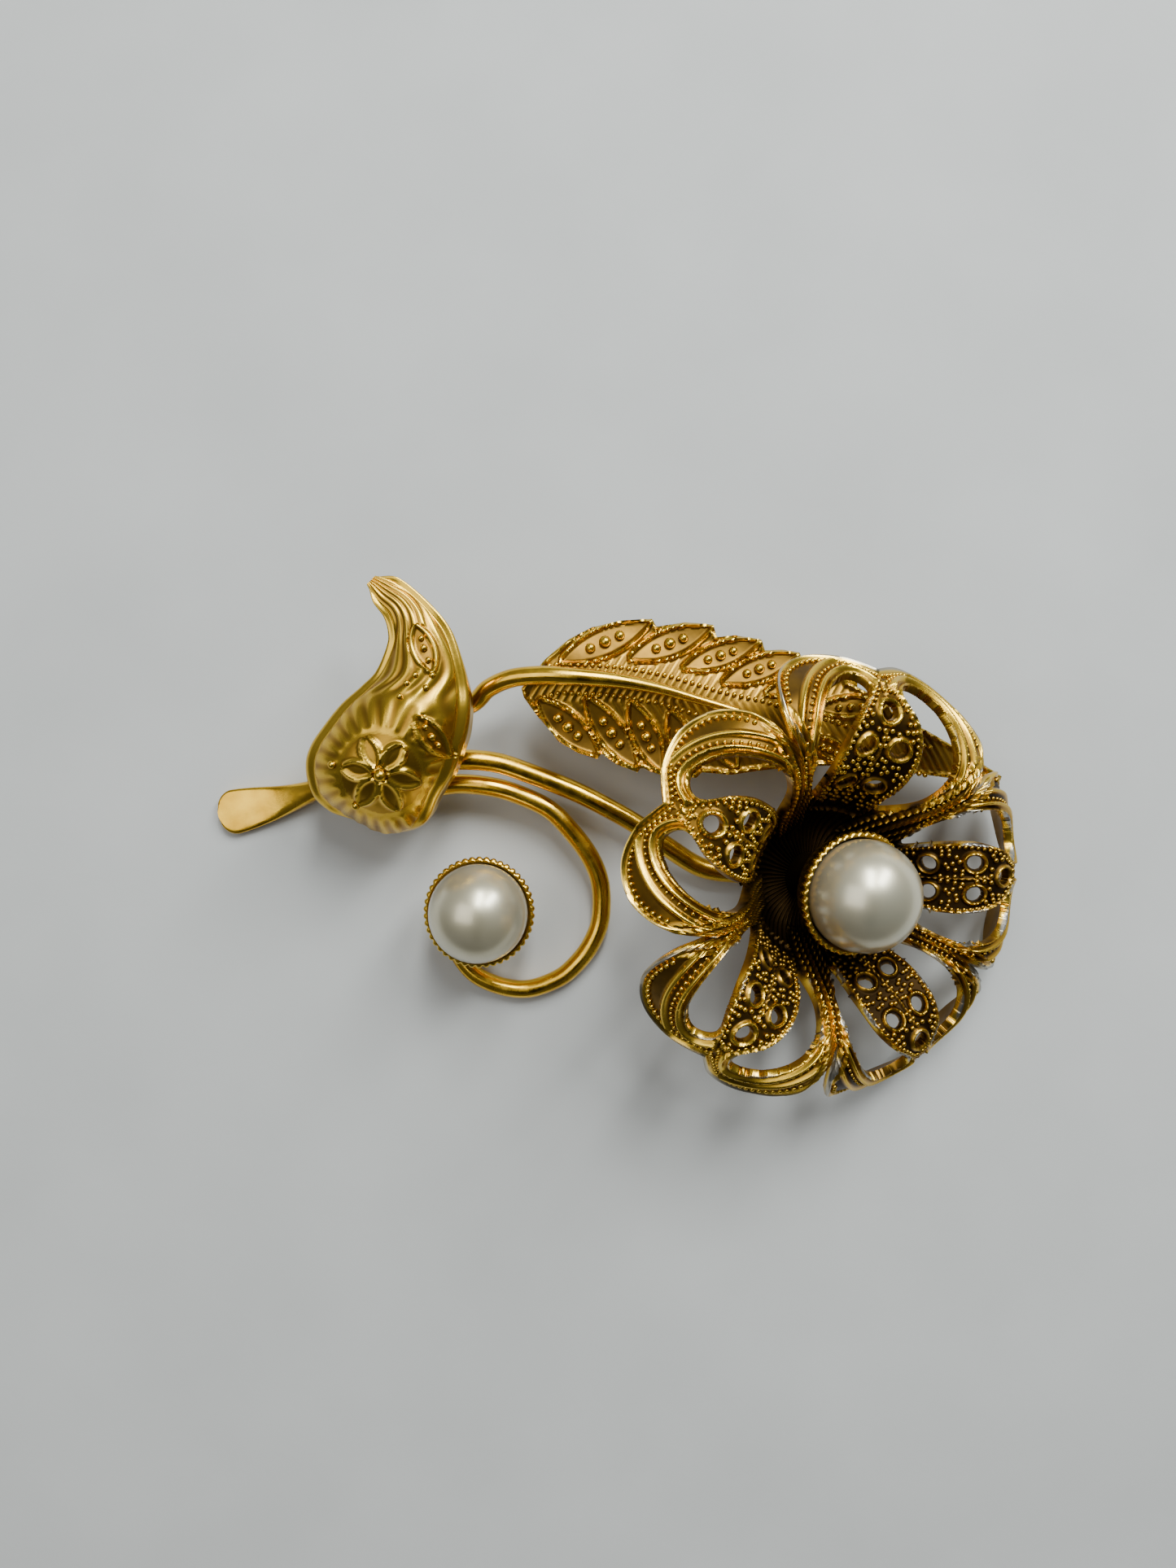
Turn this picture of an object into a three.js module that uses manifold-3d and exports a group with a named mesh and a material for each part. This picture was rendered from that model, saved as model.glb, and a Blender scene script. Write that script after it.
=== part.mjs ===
// Floral spray brooch: a pierced flower and a feather leaf on three wires, two pearls, and a bar pin with
// a safety catch on the back. Units are millimetres. The brooch lies on its back: +Z is its front, +X
// runs from the hammered tail of the main stem to the flower, and it rests on z = 0.

import * as THREE from 'three';
import Module from 'manifold-3d';

const wasm = await Module();
wasm.setup();

// ---- driving dimensions ---------------------------------------------------------------------------

// The middle of the brooch's underside, as measured in the coordinates of the tables below.
const UNDERSIDE_MIDDLE = new THREE.Vector3(-0.121, 0.533, 0.15);

const WIRE_R = 0.8;
const TAIL_HALF_WIDTH = 1.65;
const TAIL_HALF_HEIGHT = 0.4;
const SHEET = 0.6;
const FIT_GAP = 0.1;

const FLOWER_BASE = new THREE.Vector3(14.4, -2.05, 3.0);
const FLOWER_TILT = THREE.MathUtils.degToRad(23);
const FLOWER_FACES = THREE.MathUtils.degToRad(-17);
// Degrees round the flower's axis: the middle of each petal, and the two notches beside it.
const PETALS = [
  { middle: 2, from: -31, to: 37 },
  { middle: 82, from: 37, to: 119 },
  { middle: 156, from: 119, to: 191 },
  { middle: 227, from: 191, to: 262 },
  { middle: 298, from: 262, to: 329 },
];
// The meridian of the flower: radius and height from the middle of the recess to the curled rim, before
// the recess is set off towards one side.
const FLOWER_PROFILE = [
  [0.9, 0], [2.5, 0], [4.3, 0.5], [5.9, 2.1], [7.4, 4.4], [9.2, 6.7], [11.2, 8.1], [13.0, 8.4],
  [14.7, 7.6], [15.9, 6.0], [16.6, 4.3],
];
// From the middle of a petal (0) to its notch (1), the share of the meridian that the sheet reaches.
const PETAL_OUTLINE = [
  [0, 0.9], [0.25, 0.98], [0.5, 1], [0.74, 0.94], [0.92, 0.8], [1, 0.7],
];
// How far the middle of the recess lies from the middle of the rim, along the flower's own X and Y.
const RECESS_OFFSET = [1.2, -0.6];
const RIM_R = 16.6;
const HOLE_R = 0.62;
const TONGUE_HOLES = [[8.3, 1.15], [8.3, -1.15], [10.9, 1.25], [10.9, -1.25], [13.2, 0]];
const CRESCENT = [
  [7.0, 2.5], [9.0, 2.9], [11.0, 2.9], [12.8, 2.3], [14.3, 1.2],
  [14.9, 2.3], [14.3, 3.9], [13.0, 5.0], [11.2, 5.2], [9.2, 4.5], [7.8, 3.5],
];

const LARGE_PEARL_R = 4.2;
const LARGE_PEARL_HEIGHT = 8.0;
const SMALL_PEARL_R = 3.8;
const SMALL_PEARL_CENTRE = new THREE.Vector3(-10.2, -5.2, 6.4);
const PEG_R = 0.6;

const MAIN_STEM = [
  [-31.8, 2.2, 0.55], [-29.8, 2.6, 0.6], [-26.8, 3.3, 0.85], [-23.5, 4.3, 1.8], [-19.9, 5.4, 3.3],
  [-16.0, 6.3, 4.1], [-12.1, 6.6, 4.3], [-9.1, 6.4, 4.2], [-6.3, 5.5, 3.9], [-3.0, 4.2, 3.5],
  [-0.4, 2.9, 3.1], [2.2, 1.4, 2.7], [4.5, -0.3, 2.4], [7.3, -2.0, 1.8], [10.2, -2.5, 1.4],
  [13.9, -2.7, 1.15],
];
const LEAF_STEM = [
  [-17.8, 9.3, 4.8], [-14.6, 9.6, 4.9], [-10.9, 10.8, 5.6], [-9.4, 12.0, 6.4], [-7.6, 12.7, 7.2],
  [-5.4, 12.9, 7.6], [-3.2, 12.8, 7.8], [0.2, 12.5, 7.85], [3.5, 11.9, 7.8], [6.7, 11.0, 7.65],
  [9.5, 10.2, 7.4],
];
const SPIRAL_STEM = [
  [-18.1, 3.3, 2.9], [-14.8, 4.2, 3.1], [-12.3, 4.7, 3.2], [-9.6, 4.5, 3.3], [-7.4, 3.9, 3.2],
  [-4.9, 2.7, 2.9], [-3.1, 0.9, 2.5], [-1.6, -1.2, 2.1], [-0.8, -3.4, 1.8], [-0.8, -6.2, 1.5],
  [-1.6, -8.3, 1.3], [-2.8, -9.9, 1.1], [-4.3, -11.1, 1.0], [-6.7, -11.9, 1.0], [-9.1, -11.6, 1.0],
  [-11.2, -10.5, 1.0], [-12.5, -8.5, 1.0], [-12.2, -6.7, 1.0], [-11.2, -5.6, 1.0],
];

// The feather leaf: its upper edge, its midrib and its lower edge, station by station from the base.
const LEAF_UPPER = [
  [-6.9, 12.0, 6.0], [-6.0, 13.1, 5.9], [-5.2, 14.1, 5.8], [-4.2, 15.0, 5.8], [-3.2, 15.8, 5.8],
  [-1.5, 16.7, 5.9], [0.7, 17.1, 5.9], [3.1, 17.3, 5.9], [3.5, 16.7, 5.9], [5.6, 17.0, 5.9],
  [7.8, 16.9, 5.9], [8.0, 15.8, 5.9], [9.5, 16.0, 5.9], [11.5, 15.7, 5.9], [11.7, 14.9, 5.9],
  [13.1, 14.9, 5.9], [14.4, 14.7, 5.9], [14.7, 14.1, 5.9], [18.9, 11.9, 5.9], [22.3, 10.0, 5.7],
  [25.0, 8.7, 4.6], [28.2, 7.0, 3.4], [31.0, 5.4, 2.4],
];
const LEAF_MIDRIB = [
  [-6.9, 11.7, 6.0], [-6.3, 12.0, 6.1], [-5.7, 12.3, 6.2], [-4.9, 12.6, 6.3], [-4.2, 12.7, 6.4],
  [-2.8, 12.7, 6.6], [-1.3, 12.7, 6.6], [0.3, 12.5, 6.6], [0.8, 12.4, 6.6], [2.4, 12.2, 6.6],
  [3.9, 11.9, 6.6], [4.7, 11.7, 6.6], [6.1, 11.3, 6.6], [7.3, 10.9, 6.6], [8.0, 10.7, 6.6],
  [9.4, 10.3, 6.6], [11.0, 10.0, 6.6], [12.2, 9.7, 6.6], [15.9, 8.6, 6.6], [19.7, 7.5, 6.2],
  [23.0, 6.8, 5.0], [27.2, 6.0, 3.6], [31.2, 5.2, 2.4],
];
const LEAF_LOWER = [
  [-6.8, 11.4, 6.0], [-6.2, 10.8, 5.9], [-5.6, 9.9, 5.8], [-4.8, 9.1, 5.8], [-4.1, 8.2, 5.8],
  [-2.5, 7.3, 5.9], [-1.0, 6.7, 5.9], [-0.6, 7.1, 5.9], [0.5, 6.3, 5.9], [2.0, 5.7, 5.9],
  [2.3, 6.0, 5.9], [2.9, 5.7, 5.9], [3.6, 5.5, 5.9], [4.9, 5.4, 5.9], [6.1, 5.3, 5.9],
  [7.4, 5.3, 5.9], [9.2, 5.4, 5.9], [11.1, 5.7, 5.9], [14.8, 6.1, 5.9], [19.2, 6.1, 5.8],
  [23.1, 5.6, 4.6], [27.2, 5.1, 3.4], [31.1, 5.0, 2.4],
];

// The leaf cap: its left edge, its right edge and how far its middle rises above them.
const CAP_LEFT = [
  [-17.9, 19.5, 9.5], [-17.2, 18.3, 9.2], [-16.4, 17.2, 8.9], [-16.1, 15.9, 8.6], [-16.3, 14.7, 8.2],
  [-17.3, 12.7, 7.6], [-18.6, 11.5, 7.2], [-20.2, 10.2, 6.8], [-21.5, 8.7, 6.4], [-22.5, 7.3, 6.0],
  [-22.9, 6.0, 5.5], [-22.6, 4.3, 5.0], [-21.7, 3.3, 4.6], [-20.1, 2.3, 4.6], [-18.2, 1.3, 5.0],
];
const CAP_RIGHT = [
  [-17.5, 19.8, 9.6], [-16.1, 19.5, 9.2], [-14.8, 18.6, 9.0], [-13.3, 17.2, 8.8], [-12.2, 15.8, 8.4],
  [-11.4, 13.8, 8.0], [-10.9, 11.9, 7.6], [-10.7, 10.3, 7.4], [-10.9, 8.6, 7.0], [-11.4, 7.2, 6.6],
  [-12.0, 5.7, 6.2], [-13.1, 4.1, 5.6], [-14.0, 2.5, 5.0], [-15.1, 1.5, 4.8], [-16.8, 1.1, 5.0],
];
const CAP_CROWN = [0.2, 0.6, 1.0, 1.4, 1.9, 2.6, 3.2, 3.8, 4.4, 4.9, 5.1, 4.8, 4.0, 2.6, 0.6];

// The pin on the back. Its axis is parallel to X, below the feather leaf.
const PIN_Y = 11.1;
const PIN_Z = 2.5;
const PIN_R = 0.4;
const BAR_X0 = -4.6;
const BAR_LENGTH = 23.6;
const BAR_WIDTH = 4.4;
const BAR_Z0 = 4.9;
const BAR_THICK = 0.6;
// The bar is thinner between the seats that the hinge and the catch are soldered to.
const BAR_RELIEF = 0.15;
const BAR_RELIEF_FROM = -1.2;
const BAR_RELIEF_TO = 15.4;
const HINGE_X = -2.9;
const HINGE_EYE_R = 1.1;
const HINGE_EYE_BORE = 0.45;
const HINGE_EYE_WIDTH = 1.3;
const HINGE_CHEEK = 0.5;
const RIVET_R = 0.35;
const CATCH_X = 16.2;
const CATCH_LENGTH = 2.4;
const HOUSING_R = 2.0;
const HOUSING_BORE = 1.35;
const ROTOR_R = 1.25;
const ROTOR_BORE = 0.6;
const ROTOR_SLOT = 1.1;
const FLANGE_R = 1.7;
const FLANGE_THICK = 0.4;
const LEVER_REACH = 2.4;
const LEVER_WIDTH = 0.9;

const GOLD = { color: 0xc9a04a, roughness: 0.32, metalness: 1 };
const STEEL = { color: 0xb9b9bd, roughness: 0.3, metalness: 1 };
const PEARL = { color: 0xefe6d6, roughness: 0.25, metalness: 0 };

// ---- building blocks ------------------------------------------------------------------------------

function closedGeometry(positions, index) {
  const geometry = new THREE.BufferGeometry();
  geometry.setAttribute('position', new THREE.Float32BufferAttribute(positions, 3));
  geometry.setIndex(index);
  return geometry;
}

// A node of the brooch, moved so that the middle of the brooch's underside is the origin.
function named(name, geometry, look) {
  geometry.translate(-UNDERSIDE_MIDDLE.x, -UNDERSIDE_MIDDLE.y, -UNDERSIDE_MIDDLE.z);
  geometry.computeVertexNormals();
  const mesh = new THREE.Mesh(geometry, new THREE.MeshStandardMaterial(look));
  mesh.name = name;
  return mesh;
}

function vector([x, y, z]) {
  return new THREE.Vector3(x, y, z);
}

// The value of a table of [input, value] rows at an input, along straight lines.
function lookUp(rows, input) {
  const after = rows.findIndex(([x]) => x >= input);
  if (after <= 0) return rows[after < 0 ? rows.length - 1 : 0][1];
  const [x0, y0] = rows[after - 1];
  const [x1, y1] = rows[after];
  return y0 + ((y1 - y0) * (input - x0)) / (x1 - x0);
}

// A solid through a row of rings with the same number of points, closed by a fan at each end.
function loft(rings) {
  const around = rings[0].length;
  const positions = [];
  const index = [];
  for (const ring of rings) {
    for (const p of ring) positions.push(p.x, p.y, p.z);
  }
  for (let i = 0; i + 1 < rings.length; i += 1) {
    for (let j = 0; j < around; j += 1) {
      const a = i * around + j;
      const b = i * around + ((j + 1) % around);
      index.push(a, b, b + around, a, b + around, a + around);
    }
  }
  const last = (rings.length - 1) * around;
  for (let j = 1; j + 1 < around; j += 1) {
    index.push(0, j + 1, j);
    index.push(last, last + j, last + j + 1);
  }
  return closedGeometry(positions, index);
}

// A wire along points. half(t) gives its half width and half height at share t of its length.
function wire(points, half, steps, sides = 8) {
  const curve = new THREE.CatmullRomCurve3(points.map(vector));
  const up = new THREE.Vector3(0, 0, 1);
  const rings = [];
  for (let i = 0; i <= steps; i += 1) {
    const t = i / steps;
    const middle = curve.getPointAt(t);
    const along = curve.getTangentAt(t);
    const side = new THREE.Vector3().crossVectors(up, along).normalize();
    const top = new THREE.Vector3().crossVectors(along, side);
    const [width, height] = half(t);
    const ring = [];
    for (let j = 0; j < sides; j += 1) {
      const angle = (2 * Math.PI * j) / sides;
      const p = middle.clone().addScaledVector(side, width * Math.cos(angle));
      ring.push(p.addScaledVector(top, height * Math.sin(angle)));
    }
    rings.push(ring);
  }
  return loft(rings);
}

// The unit normals of a grid of points, on the side where rows x columns points up.
function gridNormals(grid, wrap) {
  const rows = grid.length;
  const columns = grid[0].length;
  return grid.map((row, i) => row.map((point, j) => {
    const before = wrap ? (j + columns - 1) % columns : Math.max(j - 1, 0);
    const after = wrap ? (j + 1) % columns : Math.min(j + 1, columns - 1);
    const across = new THREE.Vector3().subVectors(row[after], row[before]);
    const low = grid[Math.max(i - 1, 0)][j];
    const high = grid[Math.min(i + 1, rows - 1)][j];
    const along = new THREE.Vector3().subVectors(high, low);
    return new THREE.Vector3().crossVectors(along, across).normalize();
  }));
}

// A sheet of even thickness on both sides of a grid. A wrapped grid is a ring, with no side edges.
function sheet(grid, thickness, wrap = false) {
  const rows = grid.length;
  const columns = grid[0].length;
  const normals = gridNormals(grid, wrap);
  const positions = [];
  for (const side of [0.5, -0.5]) {
    grid.forEach((row, i) => row.forEach((point, j) => {
      const p = point.clone().addScaledVector(normals[i][j], side * thickness);
      positions.push(p.x, p.y, p.z);
    }));
  }
  const under = rows * columns;
  const index = [];
  const quad = (a, b, c, d) => index.push(a, b, c, a, c, d);
  const cells = wrap ? columns : columns - 1;
  for (let j = 0; j < cells; j += 1) {
    const next = (j + 1) % columns;
    for (let i = 0; i + 1 < rows; i += 1) {
      const a = i * columns + j;
      const b = i * columns + next;
      quad(a, a + columns, b + columns, b);
      quad(under + a, under + b, under + b + columns, under + a + columns);
    }
    const end = (rows - 1) * columns;
    quad(j, next, under + next, under + j);
    quad(end + j, under + end + j, under + end + next, end + next);
  }
  if (!wrap) {
    for (let i = 0; i + 1 < rows; i += 1) {
      const a = i * columns;
      const b = a + columns - 1;
      quad(a, under + a, under + a + columns, a + columns);
      quad(b, b + columns, under + b + columns, under + b);
    }
  }
  return closedGeometry(positions, index);
}

function block(x0, x1, y0, y1, z0, z1) {
  const geometry = new THREE.BoxGeometry(x1 - x0, y1 - y0, z1 - z0);
  return geometry.translate((x0 + x1) / 2, (y0 + y1) / 2, (z0 + z1) / 2);
}

// A straight round bar from start along the direction 'x', 'y' or 'z'.
function rod(direction, start, length, radius, sides = 16, endRadius = radius) {
  const geometry = new THREE.CylinderGeometry(endRadius, radius, length, sides);
  geometry.translate(0, length / 2, 0);
  if (direction === 'x') geometry.rotateZ(-Math.PI / 2);
  if (direction === 'z') geometry.rotateX(Math.PI / 2);
  return geometry.translate(...start);
}

function prism(outline, z0, z1) {
  const shape = new THREE.Shape(outline.map(([x, y]) => new THREE.Vector2(x, y)));
  return new THREE.ExtrudeGeometry(shape, { depth: z1 - z0, bevelEnabled: false }).translate(0, 0, z0);
}

// A turned piece about Z. The profile starts and ends on the axis, or closes.
function turned(profile, sides) {
  const points = profile.map(([radius, height]) => new THREE.Vector2(radius, height));
  return new THREE.LatheGeometry(points, sides).rotateX(Math.PI / 2);
}

// ---- solids ---------------------------------------------------------------------------------------

function toSolid(geometry) {
  const plain = geometry.index ? geometry.toNonIndexed() : geometry;
  const position = plain.getAttribute('position');
  const mesh = new wasm.Mesh({
    numProp: 3,
    vertProperties: new Float32Array(position.array),
    triVerts: Uint32Array.from({ length: position.count }, (_, i) => i),
  });
  mesh.merge();
  return new wasm.Manifold(mesh);
}

function toGeometry(solid) {
  const mesh = solid.getMesh();
  return closedGeometry(Array.from(mesh.vertProperties), Array.from(mesh.triVerts));
}

function joined(geometries) {
  return geometries.map(toSolid).reduce((whole, piece) => whole.add(piece));
}

function cutFrom(solid, geometries) {
  return geometries.map(toSolid).reduce((whole, piece) => whole.subtract(piece), solid);
}

// ---- stems ----------------------------------------------------------------------------------------

function mainStem() {
  const tailEnd = 0.03;
  const half = (t) => {
    const round = THREE.MathUtils.smoothstep(t, 0.01, 0.19);
    const fromEnd = 1 - THREE.MathUtils.clamp(t / tailEnd, 0, 1);
    const tip = 0.4 + 0.6 * Math.sqrt(1 - fromEnd ** 2);
    return [
      THREE.MathUtils.lerp(TAIL_HALF_WIDTH, WIRE_R, round) * tip,
      THREE.MathUtils.lerp(TAIL_HALF_HEIGHT, WIRE_R, round),
    ];
  };
  return named('main_stem', wire(MAIN_STEM, half, 48), GOLD);
}

function leafStem() {
  const half = (t) => {
    const radius = THREE.MathUtils.lerp(0.72, 0.32, THREE.MathUtils.smoothstep(t, 0.45, 1));
    return [radius, radius];
  };
  return named('leaf_stem', wire(LEAF_STEM, half, 20), GOLD);
}

function spiralStem() {
  const half = (t) => {
    const radius = THREE.MathUtils.lerp(WIRE_R, 0.7, t);
    return [radius, radius];
  };
  return named('spiral_stem', wire(SPIRAL_STEM, half, 36), GOLD);
}

// ---- leaves ---------------------------------------------------------------------------------------

function featherLeaf() {
  const grid = LEAF_MIDRIB.map((middle, i) => {
    const upper = vector(LEAF_UPPER[i]);
    const midrib = vector(middle);
    const lower = vector(LEAF_LOWER[i]);
    const half = new THREE.Vector3(0, 0, 0.25);
    return [
      lower,
      lower.clone().lerp(midrib, 0.5).add(half),
      midrib,
      midrib.clone().lerp(upper, 0.5).add(half),
      upper,
    ];
  });
  return named('feather_leaf', sheet(grid.reverse(), SHEET), GOLD);
}

function leafCap() {
  const columns = 8;
  const grid = CAP_LEFT.map((edge, i) => {
    const left = vector(edge);
    const right = vector(CAP_RIGHT[i]);
    const row = [];
    for (let j = 0; j <= columns; j += 1) {
      const share = j / columns;
      const rise = CAP_CROWN[i] * Math.sqrt(1 - (2 * share - 1) ** 2);
      const p = left.clone().lerp(right, share);
      row.push(p.add(new THREE.Vector3(0, 0, rise)));
    }
    return row;
  });
  return named('leaf_cap', sheet(grid.reverse(), SHEET), GOLD);
}

// ---- flower and pearls ----------------------------------------------------------------------------

// From the flower's own axes, with Z out of the middle of its rim, to where it stands.
function onFlower(geometry) {
  const turn = new THREE.Vector3(-Math.sin(FLOWER_FACES), Math.cos(FLOWER_FACES), 0);
  const place = new THREE.Matrix4().makeRotationAxis(turn, FLOWER_TILT);
  return geometry.applyMatrix4(place.setPosition(FLOWER_BASE));
}

function flowerGrid() {
  const curve = new THREE.SplineCurve(FLOWER_PROFILE.map(([r, h]) => new THREE.Vector2(r, h)));
  const rows = 9;
  const offsets = [-1, -0.92, -0.74, -0.5, -0.25, 0, 0.25, 0.5, 0.74, 0.92];
  const grid = [];
  for (let i = 0; i <= rows; i += 1) {
    const row = [];
    for (const { middle, from, to } of PETALS) {
      for (const offset of offsets) {
        const share = (i / rows) * lookUp(PETAL_OUTLINE, Math.abs(offset));
        const { x: radius, y: height } = curve.getPointAt(share);
        const turn = middle + Math.abs(offset) * ((offset < 0 ? from : to) - middle);
        const angle = THREE.MathUtils.degToRad(turn);
        const inward = 1 - radius / RIM_R;
        const x = radius * Math.cos(angle) + RECESS_OFFSET[0] * inward;
        row.push(new THREE.Vector3(x, radius * Math.sin(angle) + RECESS_OFFSET[1] * inward, height));
      }
    }
    grid.push(row);
  }
  return grid;
}

// The openings of one petal whose middle lies on +X: five round holes and two crescents.
function petalOpenings() {
  const openings = TONGUE_HOLES.map(([x, y]) => rod('z', [x, y, -2], 12, HOLE_R, 8));
  for (const side of [1, -1]) {
    const outline = CRESCENT.map(([x, y]) => [x, side * y]);
    openings.push(prism(side > 0 ? outline : outline.reverse(), -2, 10));
  }
  return openings;
}

function flower() {
  // The openings lie about two thirds of the way out, so they follow a third of the recess's offset.
  const shift = RECESS_OFFSET.map((offset) => offset / 3);
  let solid = toSolid(sheet(flowerGrid(), SHEET, true));
  for (const { middle } of PETALS) {
    const angle = THREE.MathUtils.degToRad(middle);
    const place = (opening) => opening.rotateZ(angle).translate(...shift, 0);
    solid = cutFrom(solid, petalOpenings().map(place));
  }
  return named('flower', onFlower(toGeometry(solid)), GOLD);
}

function flowerBackDisc() {
  const bore = PEG_R + FIT_GAP;
  const top = -SHEET / 2 - FIT_GAP;
  const profile = [[bore, top - 0.6], [2.8, top - 0.6], [2.8, top], [bore, top], [bore, top - 0.6]];
  const disc = turned(profile, 20).translate(...RECESS_OFFSET, 0);
  return named('flower_back_disc', onFlower(disc), GOLD);
}

// A drilled pearl, its cup and its peg, about the middle of the pearl. The cup stands on a foot of
// footRadius that ends at footBottom.
function pearlSetting(size, radius, footRadius, footBottom, pegBottom, place) {
  const bore = PEG_R + FIT_GAP;
  const drilled = Math.sqrt(radius ** 2 - bore ** 2);
  const pearl = [[bore, -drilled]];
  for (let i = 1; i < 10; i += 1) {
    const angle = (Math.PI * i) / 10;
    pearl.push([radius * Math.sin(angle), -radius * Math.cos(angle)]);
  }
  pearl.push([0, radius], [0, 0.9], [bore, 0.9], [bore, -drilled]);
  const seat = radius + 0.2;
  const onSeat = (degrees) => {
    const angle = THREE.MathUtils.degToRad(degrees);
    return [seat * Math.sin(angle), -seat * Math.cos(angle)];
  };
  const seatStart = Math.sqrt(seat ** 2 - bore ** 2);
  const cup = [
    [bore, -seatStart], onSeat(25), onSeat(42), onSeat(58), onSeat(72),
    [radius + 0.6, -0.3 * radius], [radius + 0.6, -0.42 * radius], [0.94 * seat, -0.62 * seat],
    [0.75 * seat, -0.88 * seat], [0.45 * seat, -1.08 * seat], [footRadius, -1.15 * seat],
    [footRadius, footBottom], [bore, footBottom], [bore, -seatStart],
  ];
  const peg = [[0, pegBottom], [PEG_R, pegBottom], [PEG_R, 0.7], [0, 0.7]];
  return [
    named(`${size}_pearl`, place(turned(pearl, 20)), PEARL),
    named(`${size}_pearl_cup`, place(turned(cup.reverse(), 20)), GOLD),
    named(`${size}_pearl_peg`, place(turned(peg, 10)), GOLD),
  ];
}

function largePearl() {
  const footBottom = SHEET / 2 + FIT_GAP - LARGE_PEARL_HEIGHT;
  const pegBottom = -SHEET / 2 - FIT_GAP - 0.6 - LARGE_PEARL_HEIGHT;
  const place = (geometry) => onFlower(geometry.translate(...RECESS_OFFSET, LARGE_PEARL_HEIGHT));
  return pearlSetting('large', LARGE_PEARL_R, 2.0, footBottom, pegBottom, place);
}

function smallPearl() {
  const footBottom = WIRE_R + 1.05 - SMALL_PEARL_CENTRE.z;
  const place = (geometry) => geometry.translate(...SMALL_PEARL_CENTRE);
  return pearlSetting('small', SMALL_PEARL_R, 1.3, footBottom, footBottom, place);
}

// ---- the pin on the back --------------------------------------------------------------------------

function pinBar() {
  const y0 = PIN_Y - BAR_WIDTH / 2;
  const y1 = y0 + BAR_WIDTH;
  const bar = block(BAR_X0, BAR_X0 + BAR_LENGTH, y0, y1, BAR_Z0, BAR_Z0 + BAR_THICK);
  const top = BAR_Z0 + BAR_RELIEF;
  const relief = block(BAR_RELIEF_FROM, BAR_RELIEF_TO, y0 - 1, y1 + 1, BAR_Z0 - 1, top);
  return named('pin_bar', toGeometry(cutFrom(toSolid(bar), [relief])), GOLD);
}

function hingeBracket() {
  const top = BAR_Z0 - FIT_GAP;
  const inner = HINGE_EYE_WIDTH / 2 + FIT_GAP;
  const outer = inner + HINGE_CHEEK;
  const parts = [block(HINGE_X - 1.3, HINGE_X + 1.5, PIN_Y - outer, PIN_Y + outer, top - 0.5, top)];
  for (const y0 of [PIN_Y - outer, PIN_Y + inner]) {
    parts.push(block(HINGE_X - 1.1, HINGE_X + 1.1, y0, y0 + HINGE_CHEEK, PIN_Z, top - 0.25));
    parts.push(rod('y', [HINGE_X, y0, PIN_Z], HINGE_CHEEK, 1.1, 20));
  }
  const bore = rod('y', [HINGE_X, PIN_Y - 3, PIN_Z], 6, RIVET_R + 0.07);
  return named('hinge_bracket', toGeometry(cutFrom(joined(parts), [bore])), GOLD);
}

function hingeRivet() {
  const half = HINGE_EYE_WIDTH / 2 + FIT_GAP + HINGE_CHEEK + FIT_GAP;
  const profile = [
    [0, -half - 0.3], [0.5, -half - 0.3], [0.65, -half], [RIVET_R, -half],
    [RIVET_R, half], [0.65, half], [0.5, half + 0.3], [0, half + 0.3],
  ];
  const rivet = turned(profile, 16).rotateX(Math.PI / 2);
  return named('hinge_rivet', rivet.translate(HINGE_X, PIN_Y, PIN_Z), STEEL);
}

function pinStem() {
  const reach = CATCH_X + CATCH_LENGTH + 0.9 - HINGE_X;
  const taper = 4;
  const eye = rod('y', [HINGE_X, PIN_Y - HINGE_EYE_WIDTH / 2, PIN_Z], HINGE_EYE_WIDTH, HINGE_EYE_R, 20);
  const shaftStart = HINGE_EYE_R - 0.35;
  const shaft = rod('x', [HINGE_X + shaftStart, PIN_Y, PIN_Z], reach - taper - shaftStart, PIN_R, 12);
  const point = rod('x', [HINGE_X + reach - taper, PIN_Y, PIN_Z], taper, PIN_R, 12, 0.08);
  const bore = rod('y', [HINGE_X, PIN_Y - 2, PIN_Z], 4, HINGE_EYE_BORE);
  return named('pin_stem', toGeometry(cutFrom(joined([eye, shaft, point]), [bore])), STEEL);
}

function catchBody() {
  const top = BAR_Z0 - FIT_GAP;
  const ring = rod('x', [CATCH_X, PIN_Y, PIN_Z], CATCH_LENGTH, HOUSING_R, 28);
  const foot = block(CATCH_X, CATCH_X + CATCH_LENGTH, PIN_Y - 1.5, PIN_Y + 1.5, PIN_Z + 1.6, top);
  const bore = rod('x', [CATCH_X - 1, PIN_Y, PIN_Z], CATCH_LENGTH + 2, HOUSING_BORE, 28);
  const mouth = block(CATCH_X - 1, CATCH_X + CATCH_LENGTH + 1, PIN_Y - 0.9, PIN_Y + 0.9, PIN_Z - 3, PIN_Z);
  return named('catch_body', toGeometry(cutFrom(joined([ring, foot]), [bore, mouth])), GOLD);
}

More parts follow.
